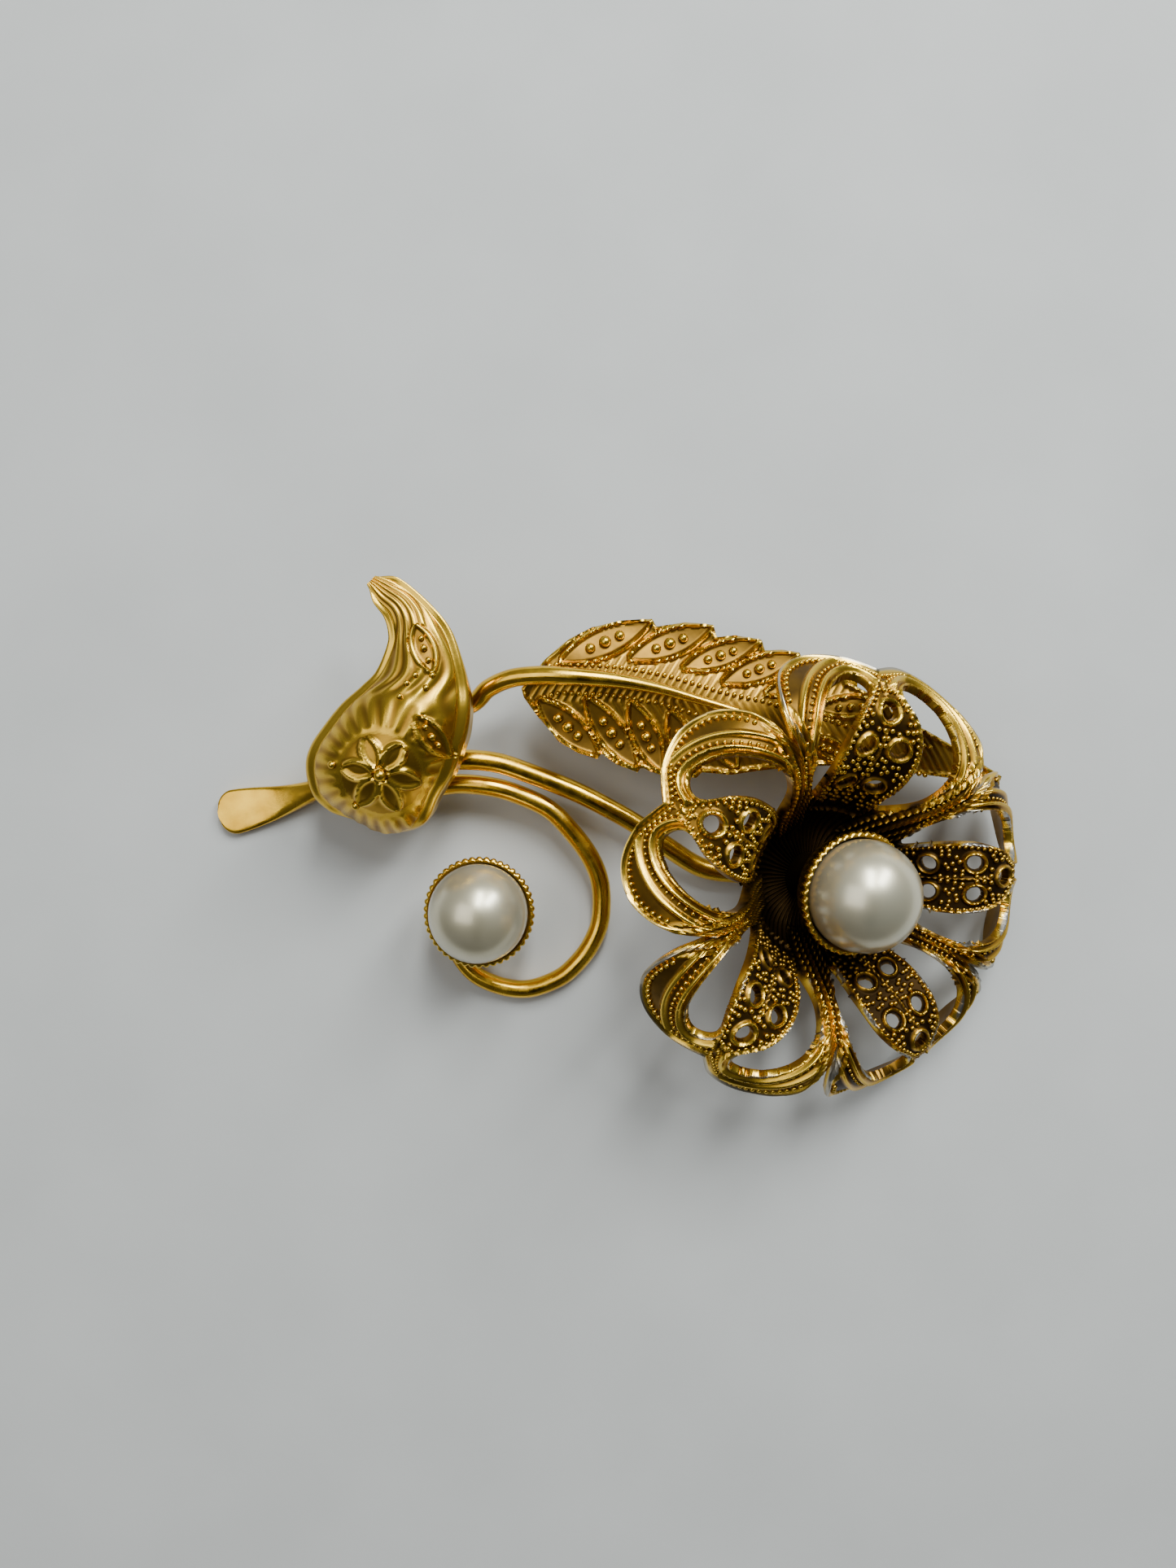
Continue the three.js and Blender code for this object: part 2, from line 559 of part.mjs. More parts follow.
function catchRotor() {
  const x0 = CATCH_X - FIT_GAP - FLANGE_THICK;
  const x1 = CATCH_X + CATCH_LENGTH + FIT_GAP;
  const length = x1 + FLANGE_THICK - x0;
  const parts = [
    rod('x', [x0, PIN_Y, PIN_Z], length, ROTOR_R, 24),
    rod('x', [x0, PIN_Y, PIN_Z], FLANGE_THICK, FLANGE_R, 24),
    rod('x', [x1, PIN_Y, PIN_Z], FLANGE_THICK, FLANGE_R, 24),
    block(x1, x1 + FLANGE_THICK, PIN_Y - LEVER_REACH, PIN_Y - 1, PIN_Z - LEVER_WIDTH / 2,
      PIN_Z + LEVER_WIDTH / 2),
  ];
  const bore = rod('x', [x0 - 1, PIN_Y, PIN_Z], length + 2, ROTOR_BORE);
  const slot = block(x0 - 1, x1 + 2, PIN_Y - ROTOR_SLOT / 2, PIN_Y + ROTOR_SLOT / 2, PIN_Z - 3, PIN_Z);
  return named('catch_rotor', toGeometry(cutFrom(joined(parts), [bore, slot])), GOLD);
}

// ---- the brooch -----------------------------------------------------------------------------------

const brooch = new THREE.Group();
brooch.name = 'brooch';
brooch.add(
  mainStem(),
  leafStem(),
  spiralStem(),
  featherLeaf(),
  leafCap(),
  flower(),
  flowerBackDisc(),
  ...largePearl(),
  ...smallPearl(),
  pinBar(),
  hingeBracket(),
  hingeRivet(),
  pinStem(),
  catchBody(),
  catchRotor(),
);

export default brooch;
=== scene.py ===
"""A gold-tone floral spray brooch with two simulated pearls, lying on its back on pale paper.

Shapes are worked out in millimetres in the drawing's own coordinates, then placed in the row frame in
metres by `placed`. The stamped pieces (flower, feather leaf, leaf cap) are sheets whose relief is
modelled as geometry: ridges and ropes raise the sheet, and beads are small spheres set on it.
"""

import math

import bmesh
import bpy
import numpy as np
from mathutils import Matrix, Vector

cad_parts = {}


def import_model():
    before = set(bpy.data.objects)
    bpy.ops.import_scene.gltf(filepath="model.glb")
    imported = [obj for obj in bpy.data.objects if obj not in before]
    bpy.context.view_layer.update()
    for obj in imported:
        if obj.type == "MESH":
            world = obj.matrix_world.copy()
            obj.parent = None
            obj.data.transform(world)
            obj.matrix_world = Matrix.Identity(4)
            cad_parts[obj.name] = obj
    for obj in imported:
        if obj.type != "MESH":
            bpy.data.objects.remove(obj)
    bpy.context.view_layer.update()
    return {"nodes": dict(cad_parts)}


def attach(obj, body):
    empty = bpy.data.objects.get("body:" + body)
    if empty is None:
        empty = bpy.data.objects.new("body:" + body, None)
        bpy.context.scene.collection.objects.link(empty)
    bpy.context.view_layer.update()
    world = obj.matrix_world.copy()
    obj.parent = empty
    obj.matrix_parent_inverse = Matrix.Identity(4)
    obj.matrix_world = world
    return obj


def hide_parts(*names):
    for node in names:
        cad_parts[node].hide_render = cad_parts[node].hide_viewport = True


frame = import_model()

# ---- dimensions in millimetres ---------------------------------------------------------------------

# The point of the drawing that is the row frame's origin.
UNDERSIDE_MIDDLE = np.array([-0.121, 0.533, 0.15])

FLOWER_BASE = np.array([14.4, -2.05, 3.0])
FLOWER_TILT = math.radians(23)
FLOWER_FACES = math.radians(-17)
FLOWER_SHEET = 0.5
RIM_R = 16.6
# How far the middle of the recess lies from the middle of the rim, along the flower's own X and Y.
RECESS_OFFSET = np.array([1.2, -0.6, 0.0])
# The meridian of the flower: radius and height from the middle of the recess to the curled rim.
FLOWER_PROFILE = [
    (0.9, 0.0), (2.5, 0.0), (4.3, 0.5), (5.9, 2.1), (7.4, 4.4), (9.2, 6.7), (11.2, 8.1), (13.0, 8.4),
    (14.7, 7.6), (15.9, 6.0), (16.6, 4.3),
]
# Degrees round the flower's axis: the middle of each petal, and the two notches beside it.
PETALS = [(2, -31, 37), (82, 37, 119), (156, 119, 191), (227, 191, 262), (298, 262, 329)]
HALF_PETAL = math.radians(36)
# How much lighter each petal's outer part is, and how far its rim is worn to the grey metal beneath.
PETAL_OUTER_LIFT = [0.15, 0.75, 1.0, 0.85, 0.2]
PETAL_WORN = [1.6, 0.6, 0.15, 0.7, 1.5]
# The twisted ropes beside the seam between two petals: distance from the seam, and half width.
SEAM_ROPES = [(0.0, 0.3), (0.62, 0.26), (1.15, 0.24)]
# From the middle of a petal (0) to its notch (1), the share of the meridian that the sheet reaches.
PETAL_OUTLINE = [
    (0.0, 0.905), (0.08, 0.93), (0.25, 0.98), (0.5, 1.0), (0.74, 0.945), (0.92, 0.82), (1.0, 0.7),
]
# The openings and the tongue of a petal, as radius and distance from the petal's middle line.
CRESCENT = [
    (7.0, 2.55), (9.0, 2.95), (11.0, 2.95), (12.8, 2.35), (14.5, 1.2),
    (15.4, 2.3), (15.0, 4.0), (13.6, 5.3), (11.5, 5.7), (9.3, 4.9), (7.8, 3.7),
]
# The row of beads round the outer edge of a crescent.
BAND_BEADS = [
    (8.4, 4.7), (9.6, 5.75), (11.7, 6.65), (13.9, 6.3), (15.5, 4.8), (16.0, 2.9), (15.7, 1.4), (15.1, 0.3),
]
TONGUE_HALF = [(6.0, 1.8), (7.0, 2.45), (9.0, 2.85), (11.0, 2.85), (12.8, 2.25), (14.3, 1.1), (15.0, 0.5)]
TONGUE_HOLES = [(8.3, 1.2), (8.3, -1.2), (10.9, 1.3), (10.9, -1.3), (13.2, 0.0)]
HOLE_R = 0.6

LARGE_PEARL_R = 4.2
LARGE_PEARL_HEIGHT = 8.0
SMALL_PEARL_R = 3.8
SMALL_PEARL_CENTRE = np.array([-10.2, -5.2, 6.4])

# The middle lines of the three wires, from the tail or the leaf cap onwards.
MAIN_STEM = [
    (-31.8, 2.2, 0.55), (-29.8, 2.6, 0.6), (-26.8, 3.3, 0.85), (-23.5, 4.3, 1.8), (-19.9, 5.4, 3.3),
    (-16.0, 6.3, 4.1), (-12.1, 6.6, 4.3), (-9.1, 6.4, 4.2), (-6.3, 5.5, 3.9), (-3.0, 4.2, 3.5),
    (-0.4, 2.9, 3.1), (2.2, 1.4, 2.7), (4.5, -0.3, 2.4), (7.3, -2.0, 1.8), (10.2, -2.5, 1.4),
    (13.9, -2.7, 1.15),
]
LEAF_STEM = [
    (-17.8, 9.3, 4.8), (-14.6, 9.6, 4.9), (-10.9, 10.8, 5.6), (-9.4, 12.0, 6.4), (-7.6, 12.7, 7.2),
    (-5.4, 12.9, 7.6), (-3.2, 12.8, 7.8), (0.2, 12.5, 7.85), (3.5, 11.9, 7.8), (6.7, 11.0, 7.65),
    (9.5, 10.2, 7.4),
]
SPIRAL_STEM = [
    (-18.1, 3.3, 2.9), (-14.8, 4.2, 3.1), (-12.3, 4.7, 3.2), (-9.6, 4.5, 3.3), (-7.4, 3.9, 3.2),
    (-4.9, 2.7, 2.9), (-3.1, 0.9, 2.5), (-1.6, -1.2, 2.1), (-0.8, -3.4, 1.8), (-0.8, -6.2, 1.5),
    (-1.6, -8.3, 1.3), (-2.8, -9.9, 1.1), (-4.3, -11.1, 1.0), (-6.7, -11.9, 1.0),
    (-9.1, -11.6, 1.0), (-11.2, -10.5, 1.0), (-12.5, -8.5, 1.0), (-12.2, -6.7, 1.0),
    (-11.2, -5.6, 1.0),
]
WIRE_R = 0.8
WIRE_SIDES = 28
TAIL_HALF_WIDTH = 1.85
TAIL_HALF_HEIGHT = 0.4

# The feather leaf in plan: its serrated outline from the base round to the base, and its midrib.
LEAF_UPPER = [
    (-6.9, 12.0), (-6.0, 13.1), (-5.2, 14.1), (-4.2, 15.0), (-3.2, 15.8), (-1.5, 16.7), (0.7, 17.2),
    (3.1, 17.35), (3.45, 16.75), (5.6, 17.1), (7.8, 16.9), (8.05, 15.95), (9.5, 16.1), (11.5, 15.75),
    (11.75, 14.95), (13.1, 15.0), (14.4, 14.75), (14.75, 14.0), (16.6, 13.6), (17.8, 13.2),
    (18.1, 12.5), (20.0, 11.6), (21.4, 10.9), (21.7, 10.3), (25.0, 8.7), (28.2, 7.0), (31.1, 5.3),
]
LEAF_LOWER = [
    (-6.7, 11.3), (-6.2, 10.6), (-5.6, 9.8), (-4.8, 8.9), (-4.1, 8.0), (-2.6, 7.1), (-1.1, 6.6),
    (-0.75, 7.05), (0.4, 6.2), (2.0, 5.6), (2.3, 6.0), (2.9, 5.7), (3.9, 5.35), (4.3, 5.75),
    (5.4, 5.35), (6.5, 5.15), (6.9, 5.6), (9.2, 5.4), (11.1, 5.7), (14.8, 6.1), (19.2, 6.1),
    (23.1, 5.6), (27.2, 5.1), (31.0, 5.0),
]
LEAF_MIDRIB = [
    (-6.9, 11.7, 6.0), (-5.7, 12.3, 6.2), (-4.2, 12.7, 6.4), (-2.8, 12.7, 6.6), (0.3, 12.5, 6.6),
    (3.9, 11.9, 6.6), (8.0, 10.7, 6.6), (12.2, 9.7, 6.6), (15.9, 8.6, 6.6), (19.7, 7.5, 6.2),
    (23.0, 6.8, 5.0), (27.2, 6.0, 3.6), (31.2, 5.15, 2.4),
]
LEAF_SHEET = 0.45
LEAF_DROP = 0.75
LEAF_STEP = 0.13
# Each pinna of the leaf: where it starts at the midrib, where its tip is, and its half width.
PINNAE = [
    ((-4.0, 14.0), (3.0, 17.1), 1.15), ((1.2, 14.2), (7.7, 16.7), 1.1), ((5.3, 13.5), (11.4, 15.6), 1.0),
    ((8.3, 12.4), (14.3, 14.6), 1.0), ((11.6, 11.6), (17.6, 13.1), 0.9), ((15.4, 10.4), (21.2, 10.8), 0.8),
    ((-5.7, 11.2), (-1.0, 6.9), 1.1), ((-2.0, 11.3), (2.0, 5.9), 1.05), ((1.4, 11.0), (3.9, 5.6), 1.0),
    ((4.4, 10.3), (6.5, 5.4), 0.95), ((7.4, 9.6), (9.6, 5.9), 0.8), ((11.0, 9.0), (13.6, 6.4), 0.8),
    ((15.0, 8.2), (18.2, 6.5), 0.7),
]

# The leaf cap: its left edge, its right edge and how far its middle rises above them.
CAP_LEFT = [
    (-17.9, 19.5, 9.5), (-17.2, 18.3, 9.2), (-16.4, 17.2, 8.9), (-16.1, 15.9, 8.6), (-16.3, 14.7, 8.2),
    (-17.3, 12.7, 7.6), (-18.6, 11.5, 7.2), (-20.2, 10.2, 6.8), (-21.5, 8.7, 6.4), (-22.5, 7.3, 6.0),
    (-22.9, 6.0, 5.5), (-22.6, 4.3, 5.0), (-21.7, 3.3, 4.6), (-20.1, 2.3, 4.6), (-18.2, 1.3, 5.0),
]
CAP_RIGHT = [
    (-17.5, 19.8, 9.6), (-16.1, 19.5, 9.2), (-14.8, 18.6, 9.0), (-13.3, 17.2, 8.8), (-12.2, 15.8, 8.4),
    (-11.4, 13.8, 8.0), (-10.9, 11.9, 7.6), (-10.7, 10.3, 7.4), (-10.9, 8.6, 7.0), (-11.4, 7.2, 6.6),
    (-12.0, 5.7, 6.2), (-13.1, 4.1, 5.6), (-14.0, 2.5, 5.0), (-15.1, 1.5, 4.8), (-16.8, 1.1, 5.0),
]
CAP_CROWN = [0.2, 0.6, 1.0, 1.4, 1.9, 2.6, 3.2, 3.8, 4.4, 4.9, 5.1, 4.8, 4.0, 2.6, 0.6]
CAP_SHEET = 0.5
DAISY = np.array([-16.9, 5.5])
DAISY_R = 2.8
# The almond pods on the cap, as the pinnae of the leaf.
PODS = [((-13.2, 12.7), (-14.4, 16.3), 0.7), ((-12.3, 6.8), (-14.3, 9.6), 0.75)]
# Place in plan and radius of the beads: the daisy's middle, both sides of it, the pods and between.
CAP_BEADS = [
    (DAISY, 0.5), ((-20.3, 6.2), 0.32), ((-18.9, 3.3), 0.32),
    ((-13.7, 8.8), 0.24), ((-13.3, 8.2), 0.3), ((-12.9, 7.6), 0.24),
    ((-14.9, 11.9), 0.26), ((-14.3, 12.6), 0.26), ((-13.6, 11.6), 0.26), ((-13.2, 12.6), 0.26),
    ((-13.5, 13.7), 0.24), ((-13.8, 14.5), 0.3), ((-14.0, 15.3), 0.24), ((-15.4, 10.9), 0.24),
]

# How dark the plain side of a stamping is, as a tone from 0 (patina) to 1 (bright gold).
UNDERSIDE_TONE = 0.45

# The camera looks straight down. Its lens is for a frame 36 mm wide.
CAMERA = np.array([-1.8, 4.7, 95.0])
LENS = 35.5
# Each light in metres, watts and colour: place, target, width and height, power, colour.
LIGHTS = {
    "window_left": ((0.03, 0.2, 0.25), (0, 0, 0), (0.06, 0.18), 0.8, (0.96, 1.0, 0.99)),
    "window_right": ((0.15, 0.18, 0.2), (0, 0, 0), (0.06, 0.18), 0.75, (0.96, 1.0, 0.99)),
    "wall_left": ((-0.2, 0.03, 0.38), (-0.03, 0, 0), (0.3, 0.3), 0.55, (1.0, 0.99, 0.96)),
}


# ---- lines and fields ------------------------------------------------------------------------------


def resampled(line, count):
    """The same line as count points, evenly spaced along it."""
    steps = np.linalg.norm(np.diff(line, axis=0), axis=1)
    reached = np.concatenate([[0], np.cumsum(steps)])
    wanted = np.linspace(0, reached[-1], count)
    return np.stack([np.interp(wanted, reached, line[:, k]) for k in range(line.shape[1])], axis=1)


def smooth_line(points, count, closed=False):
    """A smooth line through the points."""
    p = np.asarray(points, float)
    if closed:
        ends = np.vstack([p[-1:], p, p[:2]])
    else:
        ends = np.vstack([2 * p[:1] - p[1:2], p, 2 * p[-1:] - p[-2:-1]])
    t = np.linspace(0, 1, 16, endpoint=False)[:, None]
    pieces = []
    for a, b, c, d in zip(ends, ends[1:], ends[2:], ends[3:]):
        cubic = (3 * b - a - 3 * c + d) * t**3 + (2 * a - 5 * b + 4 * c - d) * t**2
        pieces.append(0.5 * (cubic + (c - a) * t + 2 * b))
    last = p[:1] if closed else p[-1:]
    return resampled(np.vstack(pieces + [last]), count)


def line_field(points, line):
    """For each point: its distance from a flat line, and how far along the line its foot is."""
    start, step = line[:-1], np.diff(line, axis=0)
    length = np.maximum(np.linalg.norm(step, axis=1), 1e-9)
    reached = np.concatenate([[0], np.cumsum(length)])[:-1]
    best = np.full(len(points), 1e9)
    along = np.zeros(len(points))
    for a, ab, size, before in zip(start, step, length, reached):
        t = np.clip(((points - a) @ ab) / size**2, 0, 1)
        gap = np.linalg.norm(points - a - t[:, None] * ab, axis=1)
        nearer = gap < best
        best[nearer] = gap[nearer]
        along[nearer] = before + t[nearer] * size
    return best, along


def inside(points, loop):
    """Whether each point is inside a closed flat loop."""
    x, y = points[:, 0], points[:, 1]
    found = np.zeros(len(points), bool)
    for (x0, y0), (x1, y1) in zip(loop, np.roll(loop, -1, axis=0)):
        if y0 == y1:
            continue
        crosses = (y0 > y) != (y1 > y)
        found ^= crosses & (x < x0 + (y - y0) * (x1 - x0) / (y1 - y0))
    return found


def snapped(spots, loop, which):
    """Spots with the chosen ones moved to the nearest point of a loop."""
    moved = spots.copy()
    chosen = spots[which]
    best = np.full(len(chosen), 1e9)
    foot = chosen.copy()
    for a, b in zip(loop, loop[1:]):
        ab = b - a
        t = np.clip(((chosen - a) @ ab) / max(ab @ ab, 1e-12), 0, 1)
        candidate = a + t[:, None] * ab
        gap = np.linalg.norm(chosen - candidate, axis=1)
        nearer = gap < best
        best[nearer] = gap[nearer]
        foot[nearer] = candidate[nearer]
    moved[which] = foot
    return moved


def ridge(value, middle, half):
    """A rounded ridge of height 1 where value is within half of middle."""
    share = np.clip(np.abs(value - middle) / half, 0, 1)
    return 0.5 + 0.5 * np.cos(np.pi * share)


def rope(distance, along, half, pitch):
    """A twisted rope of height 1 along a line."""
    twist = 0.5 + 0.5 * np.cos(2 * np.pi * (along / pitch + 0.45 * distance / half))
    return ridge(distance, 0, half) * (0.5 + 0.5 * twist)


def rise(value, low, high):
    """0 below low, 1 above high and smooth between."""
    t = np.clip((value - low) / (high - low), 0, 1)
    return t * t * (3 - 2 * t)


# ---- meshes ----------------------------------------------------------------------------------------


def placed(points):
    """Points in millimetres as metres in the row frame."""
    return (np.asarray(points) - UNDERSIDE_MIDDLE) / 1000


def grid_quads(rows, columns, wrap=False, ring=False):
    """The faces of a grid. A wrapped grid closes across its columns, a ring across its rows as well."""
    index = np.arange(rows * columns).reshape(rows, columns)
    if wrap:
        index = np.hstack([index, index[:, :1]])
    if ring:
        index = np.vstack([index, index[:1]])
    corners = (index[:-1, :-1], index[:-1, 1:], index[1:, 1:], index[1:, :-1])
    return np.stack([c.ravel() for c in corners], axis=1)


def grid_normals(grid, wrap=False):
    """Unit normals of a rows x columns grid of points, on the side its quads face."""
    if wrap:
        across = np.roll(grid, -1, axis=1) - np.roll(grid, 1, axis=1)
    else:
        across = np.gradient(grid, axis=1)
    normal = np.cross(across, np.gradient(grid, axis=0))
    return normal / np.maximum(np.linalg.norm(normal, axis=2, keepdims=True), 1e-9)


def closed_sheet(top, under, quads, tone):
    """A part made of a sheet's two faces and the walls round its edges and openings."""
    n = len(top)
    edges = np.stack([quads, np.roll(quads, -1, axis=1)], axis=2).reshape(-1, 2)
    forward = edges[:, 0] * n + edges[:, 1]
    backward = edges[:, 1] * n + edges[:, 0]
    rim = edges[~np.isin(backward, forward)]
    walls = np.stack([rim[:, 1], rim[:, 0], rim[:, 0] + n, rim[:, 1] + n], axis=1)
    faces = np.vstack([quads, quads[:, ::-1] + n, walls])
    points = np.vstack([top, under])
    tone = np.concatenate([tone, np.full(n, UNDERSIDE_TONE)])
    used, faces = np.unique(faces, return_inverse=True)
    return points[used], [faces.reshape(-1, 4)], tone[used]


def unit_bead():
    """The points and faces of a sphere of radius 1."""
    bead = bmesh.new()
    bmesh.ops.create_icosphere(bead, subdivisions=2, radius=1)
    points = np.array([v.co[:] for v in bead.verts])
    faces = np.array([[v.index for v in f.verts] for f in bead.faces])
    bead.free()
    return points, faces


BEAD_POINTS, BEAD_FACES = unit_bead()


def beads(centres, radius, shade=0.9):
    """A part made of a small sphere at each centre. shade is the tone of their tops, one or one each."""
    centres = np.asarray(centres)
    points = (centres[:, None] + radius * BEAD_POINTS[None]).reshape(-1, 3)
    starts = np.arange(len(centres))[:, None, None] * len(BEAD_POINTS)
    faces = (starts + BEAD_FACES[None]).reshape(-1, 3)
    height = 0.5 + 0.5 * BEAD_POINTS[:, 2]
    tone = np.broadcast_to(np.asarray(shade)[..., None], (len(centres), 1)) * height[None] ** 0.8
    return points, [faces], tone.ravel()


def build(name, parts, material, node):
    """One object in the row frame from parts of (points, face blocks, tone), standing for a CAD node."""
    points, faces, tone, start = [], [], [], 0
    for part_points, blocks, part_tone in parts:
        points.append(part_points)
        for block in blocks:
            faces.extend((block + start).tolist())
        tone.append(part_tone)
        start += len(part_points)
    mesh = bpy.data.meshes.new(name)
    mesh.from_pydata(placed(np.vstack(points)).tolist(), [], faces)
    attribute = mesh.attributes.new("tone", "FLOAT", "POINT")
    attribute.data.foreach_set("value", np.concatenate(tone).astype(np.float32))
    mesh.shade_smooth()
    mesh.set_sharp_from_angle(angle=math.radians(50))
    mesh.materials.append(material)
    piece = bpy.data.objects.new(name, mesh)
    bpy.context.scene.collection.objects.link(piece)
    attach(piece, "spray")
    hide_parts(node)


def swept(points, half, steps, squareness=None):
    """A wire as a part. half(t) gives its half width and half height at share t of its length.

    squareness(t) is 1 for a round section and smaller for a flatter one.
    """
    line = smooth_line(points, steps + 1)
    along = np.gradient(line, axis=0)
    along /= np.linalg.norm(along, axis=1, keepdims=True)
    side = np.cross([0, 0, 1], along)
    side /= np.linalg.norm(side, axis=1, keepdims=True)
    top = np.cross(along, side)
    share = np.linspace(0, 1, steps + 1)
    width, height = half(share)
    angle = np.linspace(0, 2 * np.pi, WIRE_SIDES, endpoint=False)
    power = squareness(share)[:, None] if squareness else 1
    across = width[:, None] * np.sign(np.cos(angle)) * np.abs(np.cos(angle)) ** power
    upward = height[:, None] * np.sign(np.sin(angle)) * np.abs(np.sin(angle)) ** power
    rings = line[:, None] + side[:, None] * across[..., None] + top[:, None] * upward[..., None]
    ring = np.arange(WIRE_SIDES)
    ends = np.stack([ring[::-1], steps * WIRE_SIDES + ring])
    blocks = [grid_quads(steps + 1, WIRE_SIDES, wrap=True), ends]
    return rings.reshape(-1, 3), blocks, np.ones((steps + 1) * WIRE_SIDES)


def turned(profile, sides, teeth=None):
    """A piece turned about Z as a part, from a closed profile. teeth(radius, angle) shifts the radius."""
    profile = np.asarray(profile, float)
    angle = np.linspace(0, 2 * np.pi, sides, endpoint=False)
    radius = np.repeat(profile[:, :1], sides, axis=1)
    height = np.repeat(profile[:, 1:], sides, axis=1)
    if teeth:
        radius = radius + teeth(radius, angle)
    points = np.stack([radius * np.cos(angle), radius * np.sin(angle), height], axis=2)
    quads = grid_quads(len(profile), sides, wrap=True, ring=True)
    return points.reshape(-1, 3), [quads], np.ones(len(profile) * sides)


# ---- materials -------------------------------------------------------------------------------------


class Nodes:
    """A short way to build a node tree."""

    def __init__(self, tree):
        self.tree = tree

    def add(self, kind, **values):
        node = self.tree.nodes.new(kind)
        for key, value in values.items():
            if key in node.inputs:
                node.inputs[key].default_value = value
            else:
                setattr(node, key, value)
        return node

    def link(self, source, target):
        self.tree.links.new(source, target)

    def ramp(self, source, stops):
        ramp = self.add("ShaderNodeValToRGB")
        points = ramp.color_ramp.elements
        while len(points) < len(stops):
            points.new(0.5)
        for point, (position, colour) in zip(points, stops):
            point.position = position
            point.color = (*colour, 1)
        self.link(source, ramp.inputs["Fac"])
        return ramp.outputs["Color"]

    def math(self, operation, a, b):
        node = self.add("ShaderNodeMath", operation=operation)
        for socket, value in zip(node.inputs, (a, b)):
            if isinstance(value, (int, float)):
                socket.default_value = value
            else:
                self.link(value, socket)
        return node.outputs[0]


class Finish(Nodes):
    """A new material, and its node tree. Its slot is the record's name for it."""

    def __init__(self, slot):
        self.material = bpy.data.materials.new(slot + "_look")
        self.material["slot"] = slot
        self.material.use_nodes = True
        super().__init__(self.material.node_tree)
        self.shader = self.tree.nodes["Principled BSDF"]

    def noise(self, scale, detail=3.0, stretch=(1, 1, 1)):
        place = self.add("ShaderNodeTexCoord")
        squeeze = self.add("ShaderNodeMapping")
        squeeze.inputs["Scale"].default_value = stretch
        self.link(place.outputs["Object"], squeeze.inputs["Vector"])
        noise = self.add("ShaderNodeTexNoise", Scale=scale, Detail=detail)
        self.link(squeeze.outputs["Vector"], noise.inputs["Vector"])
        return noise.outputs["Fac"]

    def bump(self, height, strength, distance):
        bump = self.add("ShaderNodeBump", Strength=strength, Distance=distance)
        self.link(height, bump.inputs["Height"])
        self.link(bump.outputs["Normal"], self.shader.inputs["Normal"])

    def set(self, **values):
        for key, value in values.items():
            socket = self.shader.inputs[key.replace("_", " ")]
            if hasattr(value, "is_linked"):
                self.link(value, socket)
            else:
                socket.default_value = value


def polished_gold():
    """Bright gold-tone plate on the wires and the back, darker in patches, with fine scratches."""
    n = Finish("gold_tone")
    tone = n.ramp(n.noise(420), [(0.3, (0.66, 0.37, 0.028)), (0.62, (0.93, 0.57, 0.055))])
    rough = n.ramp(n.noise(900, 4), [(0.3, (0.16,) * 3), (0.7, (0.3,) * 3)])
    n.set(Base_Color=tone, Metallic=1.0, Roughness=rough)
    n.bump(n.noise(3000, 4, (1, 1, 0.2)), 0.12, 0.00004)
    return n.material


def antique_gold():
    """Plate on the stampings and cups. Tone 0 is dark patina, 1 bright gold and 2 worn grey metal; low
    tones also hold painted shade in the flower's recess and at the cups' feet.
    """
    n = Finish("antique_gold")
    tone = n.add("ShaderNodeAttribute", attribute_name="tone").outputs["Fac"]
    uneven = n.math("MULTIPLY", n.math("SUBTRACT", n.noise(500, 5), 0.5), 0.14)
    level = n.math("ADD", n.math("MULTIPLY", tone, 0.5), uneven)
    colour = n.ramp(level, [
        (0.0, (0.01, 0.006, 0.003)),
        (0.12, (0.06, 0.032, 0.009)),
        (0.24, (0.34, 0.18, 0.022)),
        (0.38, (0.68, 0.42, 0.04)),
        (0.52, (0.84, 0.55, 0.068)),
        (0.66, (0.5, 0.44, 0.33)),
        (0.9, (0.34, 0.34, 0.33)),
    ])
    rough = n.ramp(level, [(0.05, (0.55,) * 3), (0.28, (0.3,) * 3), (0.5, (0.22,) * 3), (0.8, (0.35,) * 3)])
    n.set(Base_Color=colour, Metallic=1.0, Roughness=rough)
    n.bump(n.noise(2600, 4), 0.15, 0.00004)
    return n.material


def steel():
    """Bright drawn wire."""
    n = Finish("pin_steel")
    n.set(Base_Color=(0.6, 0.59, 0.57, 1), Metallic=1.0, Roughness=0.28)
    n.bump(n.noise(3000, 3, (0.05, 1, 1)), 0.1, 0.00003)
    return n.material


def nacre():
    """Simulated pearl: a cream lustre coat, faintly uneven, under a smooth clear one."""
    n = Finish("pearl")
    tone = n.ramp(n.noise(260, 2), [
        (0.35, (0.57, 0.52, 0.36)), (0.5, (0.63, 0.58, 0.42)), (0.65, (0.58, 0.55, 0.41)),
    ])
    n.set(Base_Color=tone, Metallic=0.72, Roughness=0.33)
    n.set(Coat_Weight=0.8, Coat_Roughness=0.16, Coat_IOR=1.5)
    n.bump(n.noise(900, 2), 0.05, 0.00005)
    return n.material


def paper():
    """Pale matte paper with a fine grain."""
    n = Finish("paper")
    tone = n.ramp(n.noise(60, 4), [(0.3, (0.52, 0.53, 0.525)), (0.7, (0.57, 0.58, 0.575))])
    n.set(Base_Color=tone, Roughness=0.85, Specular_IOR_Level=0.25)
    n.bump(n.noise(1500, 5), 0.08, 0.0001)
    return n.material


# ---- stems -----------------------------------------------------------------------------------------


